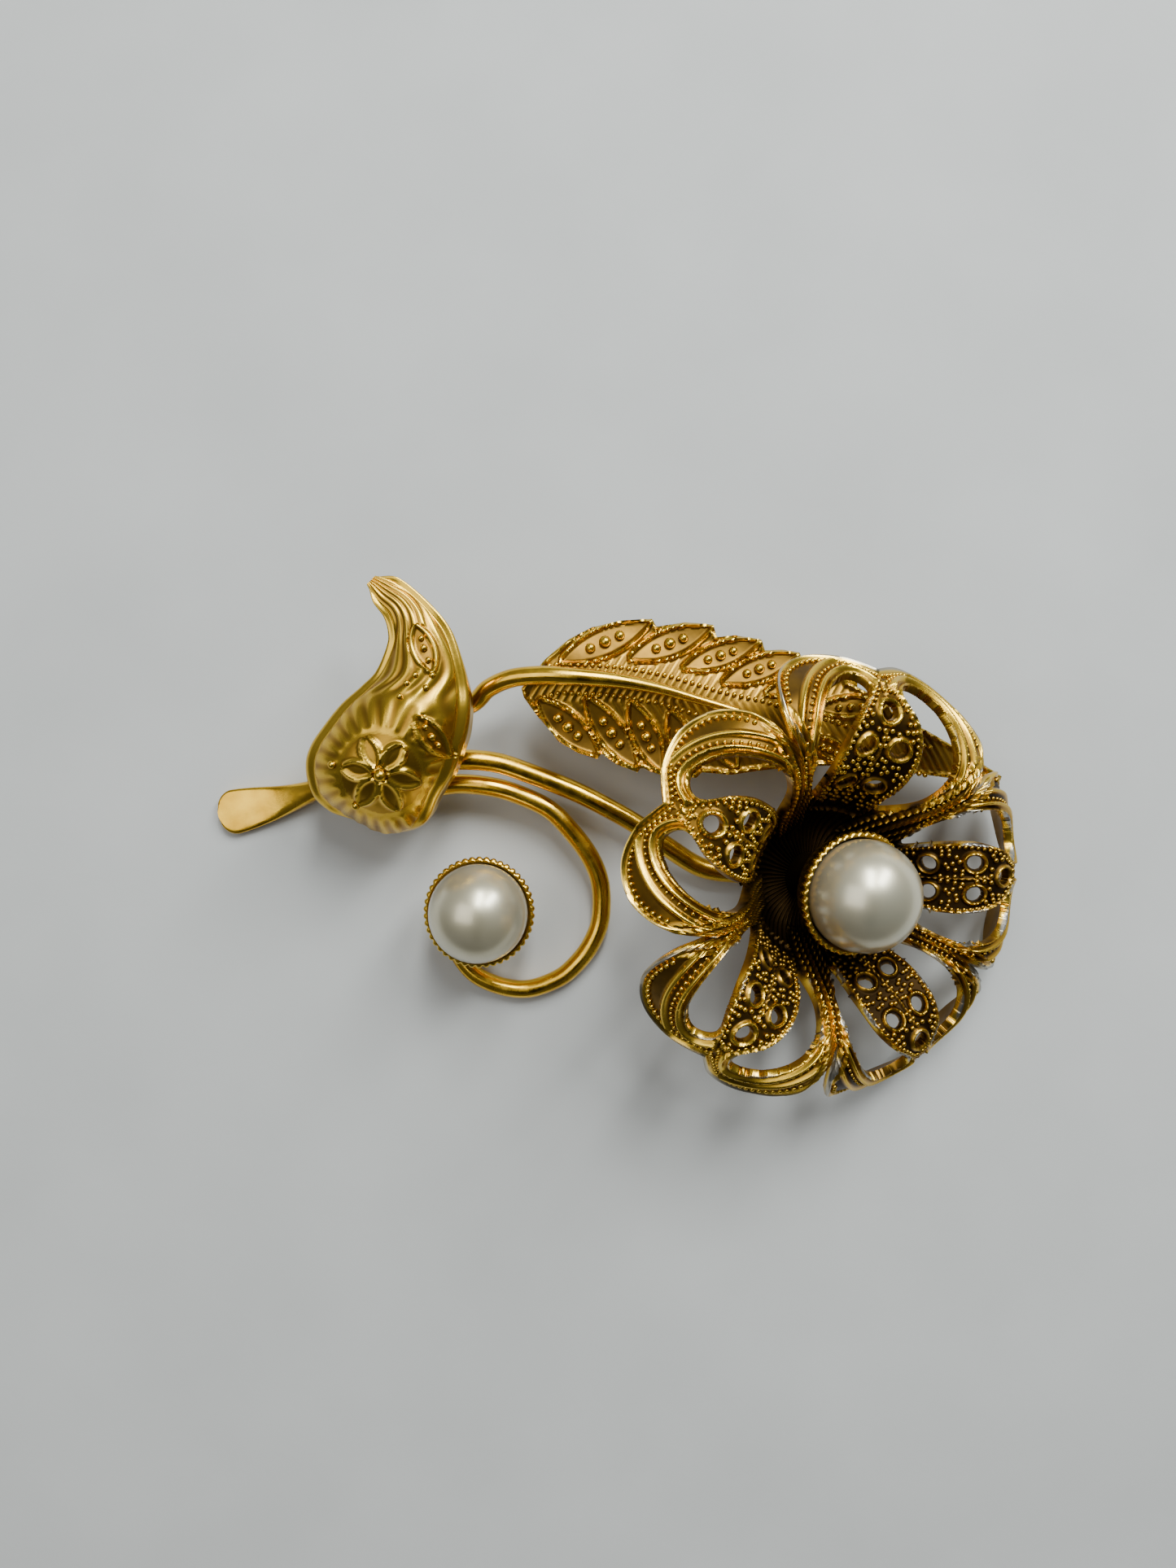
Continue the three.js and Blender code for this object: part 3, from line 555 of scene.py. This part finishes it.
def main_stem(material):
    """The middle wire, flattened at its tail."""
    def half(t):
        wire = rise(t, 0.01, 0.19)
        rounded = 0.15 + 0.85 * np.sqrt(1 - np.clip(1 - t / 0.03, 0, 1) ** 2)
        width = ((1 - wire) * TAIL_HALF_WIDTH + wire * WIRE_R) * rounded
        height = (1 - wire) * TAIL_HALF_HEIGHT + wire * WIRE_R
        return width, height

    def squareness(t):
        return 0.3 + 0.7 * rise(t, 0.06, 0.2)

    wire = swept(MAIN_STEM, half, 260, squareness=squareness)
    build("main_stem_wire", [wire], material, "main_stem")


def leaf_stem(material):
    """The upper wire, which tapers along the feather leaf."""
    def half(t):
        radius = 0.72 - 0.42 * rise(t, 0.45, 1)
        return radius, radius

    build("leaf_stem_wire", [swept(LEAF_STEM, half, 160)], material, "leaf_stem")


def spiral_stem(material):
    """The lower wire, which curls round under the small pearl."""
    def half(t):
        radius = WIRE_R - 0.1 * t
        return radius, radius

    build("spiral_stem_wire", [swept(SPIRAL_STEM, half, 260)], material, "spiral_stem")


# ---- flower ----------------------------------------------------------------------------------------

MERIDIAN = smooth_line(FLOWER_PROFILE, 400)
MERIDIAN_LENGTH = float(np.sum(np.linalg.norm(np.diff(MERIDIAN, axis=0), axis=1)))
MERIDIAN_REACHED = np.linspace(0, MERIDIAN_LENGTH, 400)


def meridian(distance):
    """Radius and height of the flower's sheet at a distance along its meridian."""
    radius = np.interp(distance, MERIDIAN_REACHED, MERIDIAN[:, 0])
    return radius, np.interp(distance, MERIDIAN_REACHED, MERIDIAN[:, 1])


def on_petal(points):
    """Points of (radius, distance from the middle line) as (distance along the meridian, same)."""
    points = np.asarray(points, float)
    rising = np.maximum.accumulate(MERIDIAN[:, 0])
    reached = np.interp(points[:, 0], rising, MERIDIAN_REACHED)
    return np.stack([reached, points[:, 1]], axis=1)


def flower_turn():
    """The turn that leans the flower's axis by FLOWER_TILT towards the direction FLOWER_FACES."""
    c, s = math.cos(FLOWER_TILT), math.sin(FLOWER_TILT)
    x, y = -math.sin(FLOWER_FACES), math.cos(FLOWER_FACES)
    return np.array([
        [c + x * x * (1 - c), x * y * (1 - c), y * s],
        [x * y * (1 - c), c + y * y * (1 - c), -x * s],
        [-y * s, x * s, c],
    ])


FLOWER_TURN = flower_turn()


def on_flower(points):
    """From the flower's own axes, with Z out of its recess, to where it stands."""
    return points @ FLOWER_TURN.T + FLOWER_BASE


def petal_points(petal, distance, offset):
    """Points on a petal from distances along the meridian and offsets from -1 to 1 across it."""
    middle, before, after = petal
    radius, height = meridian(distance)
    span = np.where(offset < 0, middle - before, after - middle)
    angle = np.radians(middle + offset * span)
    flat = np.stack([radius * np.cos(angle), radius * np.sin(angle), height], axis=-1)
    return flat + (1 - radius / RIM_R)[..., None] * RECESS_OFFSET


def on_sheet(petal, spots):
    """Where pattern spots lie on a petal, and the sheet's normals there."""
    def at(forward, sideways):
        distance = spots[:, 0] + forward
        radius, _ = meridian(distance)
        return petal_points(petal, distance, (spots[:, 1] + sideways) / (radius * HALF_PETAL))

    here = at(0, 0)
    normal = np.cross(at(0.05, 0) - here, at(0, 0.05) - here)
    return here, normal / np.linalg.norm(normal, axis=1, keepdims=True)


PETAL_ROWS, PETAL_COLUMNS = 230, 176


def petal_grid():
    """Pattern coordinates of the grid that every petal shares, fitted to the edges of the openings."""
    offset = np.linspace(-1, 1, PETAL_COLUMNS, endpoint=False)
    outline = smooth_line(PETAL_OUTLINE, 200)
    reach = np.interp(np.abs(offset), outline[:, 0], outline[:, 1]) * MERIDIAN_LENGTH
    distance = np.linspace(0, 1, PETAL_ROWS)[:, None] * reach[None]
    radius, _ = meridian(distance)
    spots = np.stack([distance, radius * offset * HALF_PETAL], axis=-1).reshape(-1, 2)
    opened = np.zeros(len(spots), bool)
    for loop in opening_loops():
        gap, _ = line_field(spots, loop)
        on_edge = gap < 0.06
        opened |= inside(spots, loop) & ~on_edge
        spots = snapped(spots, loop, on_edge)
    return spots, opened


def petal_outline_line():
    """The rim of a petal in pattern coordinates."""
    table = smooth_line(PETAL_OUTLINE, 60)
    share = np.concatenate([-table[::-1, 0], table[1:, 0]])
    reach = np.concatenate([table[::-1, 1], table[1:, 1]]) * MERIDIAN_LENGTH
    radius, _ = meridian(reach)
    return np.stack([reach, radius * share * HALF_PETAL], axis=1)


def tongue_loop():
    """The closed outline of a petal's tongue in pattern coordinates."""
    half = np.array(TONGUE_HALF)
    other = half[::-1] * [1, -1]
    return smooth_line(on_petal(np.vstack([half, other])), 120, closed=True)


def crescent_loops():
    """The closed outlines of the two openings beside the tongue."""
    return [smooth_line(on_petal(np.array(CRESCENT) * [1, side]), 90, closed=True) for side in (1, -1)]


def opening_loops():
    """The closed outlines of a petal's openings: two crescents and five round holes."""
    angle = np.linspace(0, 2 * np.pi, 25)
    circle = HOLE_R * np.stack([np.cos(angle), np.sin(angle)], axis=1)
    crescents = [np.vstack([loop, loop[:1]]) for loop in crescent_loops()]
    return crescents + [hole + circle for hole in on_petal(TONGUE_HOLES)]


def distance_to_any(spots, lines):
    """Distance from each spot to the nearest of some lines."""
    return np.min([line_field(spots, line)[0] for line in lines], axis=0)


def petal_relief(spots):
    """Relief height at spots in pattern coordinates: bands and ropes outside the tongue, rings on it."""
    x, y = spots[:, 0], spots[:, 1]
    rim, _ = line_field(spots, petal_outline_line())
    tongue = tongue_loop()
    edge, edge_along = line_field(spots, np.vstack([tongue, tongue[:1]]))
    in_tongue = inside(spots, tongue)
    radius, _ = meridian(x)
    to_seam = np.maximum(radius * HALF_PETAL - np.abs(y), 0)
    lip = distance_to_any(spots, crescent_loops())

    band = np.maximum(0.2 * ridge(lip, 0.1, 0.18), 0.4 * ridge(lip, 0.62, 0.36))
    band = np.maximum(band, 0.36 * ridge(lip, 1.75, 0.42))
    band = np.maximum(band * rise(rim, 0.5, 0.8), 0.34 * ridge(rim, 0.2, 0.3))
    band *= rise(x, 9, 12)

    seam = np.zeros(len(spots))
    for middle, half in SEAM_ROPES:
        seam = np.maximum(seam, 0.46 * rope(to_seam - middle, x, half, 0.62))
    seam *= rise(x, 2.5, 5)
    seam *= 1 - rise(x, 15.5, 18)
    beside_seam = np.maximum(seam, band * rise(to_seam, 0.3, 1.35))
    border = np.where(to_seam < 1.35, beside_seam, band)

    tongue_height = 0.3 * rope(edge, edge_along, 0.3, 0.55)
    tongue_height = np.maximum(tongue_height, 0.22 * rope(y, x, 0.22, 0.5) * rise(x, 7.5, 8.5))
    flutes = 0.16 * (0.5 + 0.5 * np.cos(y / np.maximum(radius, 1) * 60)) * (1 - rise(x, 6, 10))
    for hole in on_petal(TONGUE_HOLES):
        gap = np.linalg.norm(spots - hole, axis=1)
        tongue_height = np.where(gap < HOLE_R + 0.5, 0.3 * ridge(gap, HOLE_R + 0.2, 0.26), tongue_height)
    return np.where(in_tongue, tongue_height, border) + flutes


def petal_tone(petal_number, spots, relief):
    """Tone of a petal's sheet: patina low in the relief, patina and painted shade down in the recess, wear
    on the rims.
    """
    x, y = spots[:, 0], spots[:, 1]
    # Painted shade: the recess under the large pearl is darkened as a whole, on top of the patina, and its
    # relief is given less contrast.
    recess_shade = 1 - rise(x, 4, 13)
    outer_lift = PETAL_OUTER_LIFT[petal_number] * rise(x, 11, 17)
    shine = (1.75 + 0.6 * PETAL_OUTER_LIFT[petal_number]) * (1 - 0.75 * recess_shade)
    tone = 0.08 - 0.06 * recess_shade + 0.3 * outer_lift + shine * relief
    tone = np.minimum(tone, 1)
    rim, rim_along = line_field(spots, petal_outline_line())
    lip = distance_to_any(spots, crescent_loops())
    patchy = 0.5 + 0.5 * np.sin(0.45 * rim_along + 2 * petal_number)
    worn = ridge(rim, 0, 0.9) * (0.35 + 0.65 * patchy)
    worn = np.maximum(worn, ridge(lip, 0, 0.5) * np.sin(0.8 * x + petal_number) ** 2)
    return np.minimum(tone + PETAL_WORN[petal_number] * worn, 2)


def flower(material):
    """The pierced stamping: one grid of points that runs through all the petals in turn."""
    spots, opened = petal_grid()
    relief = petal_relief(spots)
    radius, _ = meridian(spots[:, 0])
    offset = spots[:, 1] / (radius * HALF_PETAL)
    shape = (PETAL_ROWS, PETAL_COLUMNS)
    middle = np.concatenate(
        [petal_points(petal, spots[:, 0], offset).reshape(*shape, 3) for petal in PETALS], axis=1
    )
    tone = np.concatenate([petal_tone(k, spots, relief).reshape(shape) for k in range(len(PETALS))], axis=1)
    height = np.tile(relief.reshape(shape), (1, len(PETALS)))[..., None]
    is_open = np.tile(opened.reshape(shape), (1, len(PETALS))).ravel()
    normal = -grid_normals(middle, wrap=True)
    top = middle + normal * (FLOWER_SHEET / 2 + height)
    under = middle - normal * FLOWER_SHEET / 2
    quads = grid_quads(PETAL_ROWS, PETAL_COLUMNS * len(PETALS), wrap=True)
    quads = quads[~is_open[quads].any(axis=1)][:, ::-1]
    sheet = closed_sheet(
        on_flower(top.reshape(-1, 3)), on_flower(under.reshape(-1, 3)), quads, tone.ravel()
    )
    build("flower_stamping", [sheet, *flower_beads()], material, "flower")


def bead_rows():
    """Pattern spots, bead radii and tones of the rows of beads on every petal."""
    rows = []
    rim = petal_outline_line()
    along = np.gradient(rim, axis=0)
    inward = np.stack([-np.abs(along[:, 1]), along[:, 0] * np.sign(along[:, 1])], axis=1)
    inward /= np.linalg.norm(inward, axis=1, keepdims=True)
    row = rim + 0.72 * inward
    rows.append((resampled(row[np.abs(row[:, 1]) < 8.2], 44), 0.2, 0.85))
    for side in (1, -1):
        rows.append((smooth_line(on_petal(np.array(BAND_BEADS) * [1, side]), 34), 0.16, 0.8))
    tongue = tongue_loop()
    inset = tongue + 0.42 * (tongue.mean(axis=0) - tongue) / 5
    rows.append((resampled(inset[inset[:, 0] > 7.5], 50), 0.17, 0.8))
    return rows


def granules():
    """Pattern spots of the fine granules that fill a petal's tongue between its rings."""
    tongue = tongue_loop()
    across, along = np.meshgrid(np.arange(-3, 3.01, 0.54), np.arange(7, 20, 0.54))
    along = along + 0.27 * (np.round(across / 0.54) % 2)
    spots = np.stack([along.ravel(), across.ravel()], axis=1)
    spots += 0.13 * np.sin(spots[:, ::-1] * [7.1, 9.3])
    edge, _ = line_field(spots, np.vstack([tongue, tongue[:1]]))
    kept = inside(spots, tongue) & (edge > 0.5)
    for hole in on_petal(TONGUE_HOLES):
        kept &= np.linalg.norm(spots - hole, axis=1) > HOLE_R + 0.5
    return spots[kept]


def flower_beads():
    """The rows of beads and the granules on every petal, darkened by painted shade down in the recess."""
    parts = []
    rows = bead_rows() + [(granules(), 0.21, 0.75)]
    for number, petal in enumerate(PETALS):
        for spots, radius, shade in rows:
            centre, normal = on_sheet(petal, spots)
            # Painted shade: beads are darkened down in the recess under the large pearl.
            recess_shading = 1 - 0.7 * (1 - rise(spots[:, 0], 4, 13))
            tone = shade * recess_shading * (0.8 + 0.3 * PETAL_OUTER_LIFT[number])
            lifted = on_flower(centre + (FLOWER_SHEET / 2 + 0.3 * radius) * normal)
            parts.append(beads(lifted, radius, tone))
    return parts


# ---- pearls ----------------------------------------------------------------------------------------


def pearl_setting(size, radius, foot, place, cup_material, pearl_material):
    """A pearl and its milled cup, about the middle of the pearl. foot is its radius, end and tone; the tone
    is painted shade that darkens the cup towards its foot.
    """
    foot_radius, foot_bottom, foot_shade_tone = foot
    bore = 0.7
    angle = np.linspace(math.asin(bore / radius), math.pi - 0.002, 60)
    ball = np.stack([radius * np.sin(angle), -radius * np.cos(angle)], axis=1)
    ball = np.vstack([ball, [(0.0, 0.95), (bore, 0.9)]])
    shape = turned(ball, 96)
    build(f"{size}_pearl_ball", [(place(shape[0]), *shape[1:])], pearl_material, f"{size}_pearl")

    seat = radius + 0.12
    seated = np.radians(np.linspace(10, 78, 15))
    inner = np.stack([seat * np.sin(seated), -seat * np.cos(seated)], axis=1)
    rim = [
        (radius + 0.25, -0.16 * radius), (radius + 0.4, -0.17 * radius), (radius + 0.5, -0.21 * radius),
        (radius + 0.5, -0.3 * radius), (radius + 0.35, -0.37 * radius),
    ]
    outer = [(0.94 * seat, -0.62 * seat), (0.75 * seat, -0.88 * seat), (0.45 * seat, -1.08 * seat)]
    stand = [(foot_radius, -1.15 * seat), (foot_radius, foot_bottom), (bore, foot_bottom)]
    profile = np.vstack([inner[:1] * [0, 1] + [bore, 0], inner, rim, outer, stand])

    def teeth(r, angle):
        near_rim = rise(r, radius + 0.15, radius + 0.35)
        return -0.16 * near_rim * (0.5 + 0.5 * np.cos(46 * angle)) ** 2

    points, blocks, _ = turned(profile[::-1], 46 * 8, teeth)
    # Painted shade: the cup darkens towards its foot, under the pearl.
    tone = foot_shade_tone + (0.95 - foot_shade_tone) * rise(points[:, 2], -0.75 * radius, -0.35 * radius)
    build(f"{size}_pearl_milled_cup", [(place(points), blocks, tone)], cup_material, f"{size}_pearl_cup")


def pearls(cup_material, pearl_material):
    def place_large(points):
        return on_flower(points + RECESS_OFFSET + [0, 0, LARGE_PEARL_HEIGHT])

    def place_small(points):
        return points + SMALL_PEARL_CENTRE

    # The large cup's foot lies deep in the flower's recess, so its painted shade is nearly black.
    foot = (2.0, 0.4 - LARGE_PEARL_HEIGHT, 0.1)
    pearl_setting("large", LARGE_PEARL_R, foot, place_large, cup_material, pearl_material)
    foot = (1.3, 1.85 - SMALL_PEARL_CENTRE[2], 0.8)
    pearl_setting("small", SMALL_PEARL_R, foot, place_small, cup_material, pearl_material)


# ---- feather leaf ----------------------------------------------------------------------------------


def leaf_surface(spots):
    """Height of the feather leaf's sheet, highest along its midrib."""
    line = smooth_line(LEAF_MIDRIB, 120)
    gap, _ = line_field(spots, line[:, :2])
    level = np.interp(spots[:, 0], line[:, 0], line[:, 2])
    return level - LEAF_DROP * rise(gap, 0, 5)


def almond(spots, base, tip, half):
    """The raised border, from 0 to 1, of an almond from base to tip, and the spots it covers."""
    base, tip = np.array(base), np.array(tip)
    length = np.linalg.norm(tip - base)
    axis = (tip - base) / length
    along = ((spots - base) @ axis) / length
    off = np.abs((spots - base) @ np.array([-axis[1], axis[0]]))
    within = (along > 0) & (along < 1)
    width = half * np.sin(np.pi * np.clip(along, 0, 1)) ** 0.75
    return ridge(off, width, 0.28) * within, within & (off < width + 0.28)


def leaf_outline():
    """The closed outline of the feather leaf in plan."""
    outline = np.array(LEAF_UPPER + LEAF_LOWER[::-1])
    return np.vstack([outline, outline[:1]])


def leaf_relief(spots):
    """Relief height and tone of the feather leaf."""
    edge, _ = line_field(spots, leaf_outline())
    height = 0.22 * ridge(edge, 0.15, 0.3)
    veins = 0.5 + 0.5 * np.cos(2.2 * np.pi * (spots[:, 0] * 0.9 - np.abs(spots[:, 1] - 11) * 0.55) * 1.6)
    tone = 0.34 + 0.22 * veins
    height = height + 0.07 * veins
    for pinna in PINNAE:
        border, covered = almond(spots, *pinna)
        height = np.where(covered, np.maximum(0.34 * border, 0.02), height)
        tone = np.where(covered, 0.36 + 0.7 * border, tone)
    tone = np.maximum(tone, 0.85 * ridge(edge, 0.1, 0.35))
    return height, np.clip(tone, 0, 1)


def feather_leaf(material):
    """The leaf stamping: a grid in plan, trimmed and fitted to the serrated outline."""
    xs = np.arange(-7.2, 31.6, LEAF_STEP)
    ys = np.arange(4.8, 17.7, LEAF_STEP)
    spots = np.stack(np.meshgrid(xs, ys), axis=-1).reshape(-1, 2)
    loop = leaf_outline()
    gap, _ = line_field(spots, loop)
    on_edge = gap < 0.75 * LEAF_STEP
    kept = inside(spots, loop) | on_edge
    spots = snapped(spots, loop, on_edge)
    height, tone = leaf_relief(spots)
    level = leaf_surface(spots)
    quads = grid_quads(len(ys), len(xs))
    quads = quads[kept[quads].all(axis=1)]
    top = np.column_stack([spots, level + LEAF_SHEET / 2 + height])
    under = np.column_stack([spots, level - LEAF_SHEET / 2])
    sheet = closed_sheet(top, under, quads, tone)
    build("feather_leaf_stamping", [sheet, *leaf_beads()], material, "feather_leaf")


def leaf_beads():
    """Three beads in every pinna, and a row of small ones on each side of the midrib."""
    parts = []
    for base, tip, half in PINNAE:
        base, tip = np.array(base), np.array(tip)
        for share, size in ((0.34, 0.85), (0.5, 1.0), (0.66, 0.85)):
            spot = base + share * (tip - base)
            radius = size * 0.42 * half
            level = leaf_surface(spot[None])[0] + LEAF_SHEET / 2 + 0.35 * radius
            parts.append(beads([[*spot, level]], radius))
    line = smooth_line(LEAF_MIDRIB, 400)
    direction = np.gradient(line[:, :2], axis=0)
    direction /= np.linalg.norm(direction, axis=1, keepdims=True)
    across = np.stack([-direction[:, 1], direction[:, 0]], axis=1)
    for side in (1, -1):
        row = resampled(line[16:330, :2] + side * 1.1 * across[16:330], 58)
        level = leaf_surface(row) + LEAF_SHEET / 2 + 0.08
        parts.append(beads(np.column_stack([row, level]), 0.21))
    return parts


# ---- leaf cap --------------------------------------------------------------------------------------


def daisy(gap, angle):
    """Relief height of a daisy with six petals, at distances and angles from its middle."""
    from_petal = (angle - 0.35) % (np.pi / 3) - np.pi / 6
    sideways = np.abs(gap * np.sin(from_petal))
    forward = gap * np.cos(from_petal)
    half = 0.6 * np.sin(np.pi * np.clip((forward - 0.5) / 2.2, 0, 1)) ** 0.6
    loops = 0.24 * ridge(sideways, half, 0.3) * ((forward > 0.5) & (forward < 2.7))
    return np.maximum(loops, 0.24 * ridge(gap, 0, 0.65))


def cap_relief(spots, across, along):
    """Relief height and tone of the leaf cap, from plan spots and shares across and along it."""
    to_edge = np.minimum(across, 1 - across)
    rim = ridge(to_edge, 0.045, 0.045) * rise(along, 0, 0.08) * (1 - rise(along, 0.86, 0.95))
    offset = spots - DAISY
    gap = np.linalg.norm(offset, axis=1)
    angle = np.arctan2(offset[:, 1], offset[:, 0])
    height = np.where(gap < DAISY_R, daisy(gap, angle), 0.4 * rim)
    tone = np.where(gap < DAISY_R, 0.55 + 1.8 * height, 0.75)
    # A fan of grooves round the daisy.
    grooves = 0.5 + 0.5 * np.cos(angle * 26)
    fan = rise(gap, 3.0, 3.5) * (1 - rise(gap, 5.0, 6.5)) * (to_edge > 0.09)
    height = height + 0.1 * grooves * fan
    tone = tone + fan * (0.5 + 0.35 * grooves - tone)
    # Wandering veins over the rest, fainter on the lower half.
    veined = (1 - 0.35 * rise(along, 0.4, 0.56)) * rise(gap, 2.9, 3.4) * (1 - fan) * (to_edge > 0.1)
    veins = 0.5 + 0.5 * np.cos(across * 40 + along * 12 + 2.2 * np.sin(along * 30))
    height = height + 0.1 * veins * veined
    tone = tone + veined * (0.46 + 0.34 * veins - tone)
    for pod in PODS:
        border, covered = almond(spots, *pod)
        height = np.where(covered, 0.26 * border, height)
        tone = np.where(covered, 0.45 + 0.5 * border, tone)
    tone = np.where(to_edge < 0.08, 0.85, tone)
    return height, np.clip(tone, 0, 1)


def leaf_cap(material):
    """The cap stamping: arches from its left edge to its right edge, from its tip down."""
    rows, columns = 220, 110
    table = np.hstack([CAP_LEFT, CAP_RIGHT, np.array(CAP_CROWN)[:, None]])
    # The stations are spread along an axis of their own, longer than the cap, and joined smoothly.
    spread = 60
    share = np.linspace(0, 1, len(table))[:, None]
    smooth = smooth_line(np.hstack([spread * share, table]), 1200)
    fine = np.linspace(0, 1, rows)
    stations = np.stack([np.interp(spread * fine, smooth[:, 0], value) for value in smooth.T[1:]], axis=1)
    left, right, crown = stations[:, :3], stations[:, 3:6], stations[:, 6]
    angle = np.linspace(0, np.pi, columns)
    across = 0.5 - 0.5 * np.cos(angle)
    middle = left[:, None] + (right - left)[:, None] * across[None, :, None]
    middle[..., 2] += crown[:, None] * np.sin(angle)[None]
    normal = -grid_normals(middle)
    spots = middle[..., :2].reshape(-1, 2)
    wide, long = np.meshgrid(across, fine)
    height, tone = cap_relief(spots, wide.ravel(), long.ravel())
    top = middle + normal * (CAP_SHEET / 2 + height.reshape(rows, columns)[..., None])
    under = middle - normal * CAP_SHEET / 2
    quads = grid_quads(rows, columns)[:, ::-1]
    sheet = closed_sheet(top.reshape(-1, 3), under.reshape(-1, 3), quads, tone)
    build("leaf_cap_stamping", [sheet, *cap_beads(middle, normal)], material, "leaf_cap")


def cap_beads(middle, normal):
    """The beads on the cap, from its middle surface and the normals there."""
    parts = []
    flat = middle[..., :2].reshape(-1, 2)
    for spot, radius in CAP_BEADS:
        nearest = np.argmin(np.linalg.norm(flat - spot, axis=1))
        centre = middle.reshape(-1, 3)[nearest] + normal.reshape(-1, 3)[nearest] * (CAP_SHEET / 2 + 0.1)
        parts.append(beads([centre], radius))
    return parts


# ---- scene -----------------------------------------------------------------------------------------


def soft_light(name, location, target, size, power, colour):
    """A rectangular light, turned to face its target."""
    light = bpy.data.lights.new(name, "AREA")
    light.shape = "RECTANGLE"
    light.size, light.size_y = size
    light.energy = power
    light.color = colour
    lamp = bpy.data.objects.new(name, light)
    lamp.location = location
    lamp.rotation_euler = (Vector(target) - Vector(location)).to_track_quat("-Z", "Y").to_euler()
    bpy.context.scene.collection.objects.link(lamp)


def floor():
    """A sheet of paper far larger than the view."""
    mesh = bpy.data.meshes.new("paper_floor")
    half = 0.6
    corners = [(-half, -half, 0), (half, -half, 0), (half, half, 0), (-half, half, 0)]
    mesh.from_pydata(corners, [], [(0, 1, 2, 3)])
    mesh.materials.append(paper())
    sheet = bpy.data.objects.new("paper_floor", mesh)
    bpy.context.scene.collection.objects.link(sheet)


def world():
    """A soft room, brighter towards +Y, with a dark shape overhead that reaches towards -Y."""
    room = bpy.data.worlds.new("room")
    room.use_nodes = True
    bpy.context.scene.world = room
    n = Nodes(room.node_tree)

    def between(value, low, high, at_low, at_high):
        node = n.add("ShaderNodeMapRange", interpolation_type="SMOOTHSTEP")
        for socket, number in zip(node.inputs[1:5], (low, high, at_low, at_high)):
            socket.default_value = number
        n.link(value, node.inputs["Value"])
        return node.outputs["Result"]

    split = n.add("ShaderNodeSeparateXYZ")
    n.link(n.add("ShaderNodeTexCoord").outputs["Generated"], split.inputs["Vector"])
    height = n.math("MAXIMUM", split.outputs["Z"], 0.05)
    sideways = n.math("ABSOLUTE", n.math("DIVIDE", split.outputs["X"], height), 0)
    forward = n.math("DIVIDE", split.outputs["Y"], height)
    overhead = n.math("MULTIPLY", between(sideways, 0.16, 0.34, 1, 0), between(forward, 0.05, 0.35, 1, 0))
    overhead = n.math("MULTIPLY", overhead, between(forward, -1.8, -1.2, 0, 1))
    clear = n.math("SUBTRACT", 1, n.math("MULTIPLY", overhead, 0.95))
    level = n.math("MULTIPLY", between(split.outputs["Y"], -0.8, 0.7, 0.3, 0.85), clear)
    background = n.tree.nodes["Background"]
    n.link(n.ramp(level, [(0, (0, 0, 0)), (1, (0.97, 1.0, 1.0))]), background.inputs["Color"])
    background.inputs["Strength"].default_value = 0.3


def camera():
    """The camera, which looks straight down with +Y up in the frame."""
    data = bpy.data.cameras.new("camera")
    data.sensor_fit = "HORIZONTAL"
    data.sensor_width = 36
    data.lens = LENS
    data.clip_start = 0.005
    view = bpy.data.objects.new("camera", data)
    view.location = placed(CAMERA)
    bpy.context.scene.collection.objects.link(view)
    bpy.context.scene.camera = view


def refinish(nodes, material):
    """Give CAD nodes a material of this script."""
    for node in nodes:
        slots = frame["nodes"][node].data.materials
        slots.clear()
        slots.append(material)


def main():
    gold, antique, metal, pearl = polished_gold(), antique_gold(), steel(), nacre()
    main_stem(gold)
    leaf_stem(gold)
    spiral_stem(gold)
    flower(antique)
    pearls(antique, pearl)
    feather_leaf(antique)
    leaf_cap(antique)
    refinish(["flower_back_disc", "large_pearl_peg", "small_pearl_peg"], gold)
    refinish(["pin_bar", "hinge_bracket", "catch_body", "catch_rotor"], gold)
    refinish(["hinge_rivet", "pin_stem"], metal)
    floor()
    world()
    for name, facts in LIGHTS.items():
        soft_light(name, *facts)
    camera()


main()
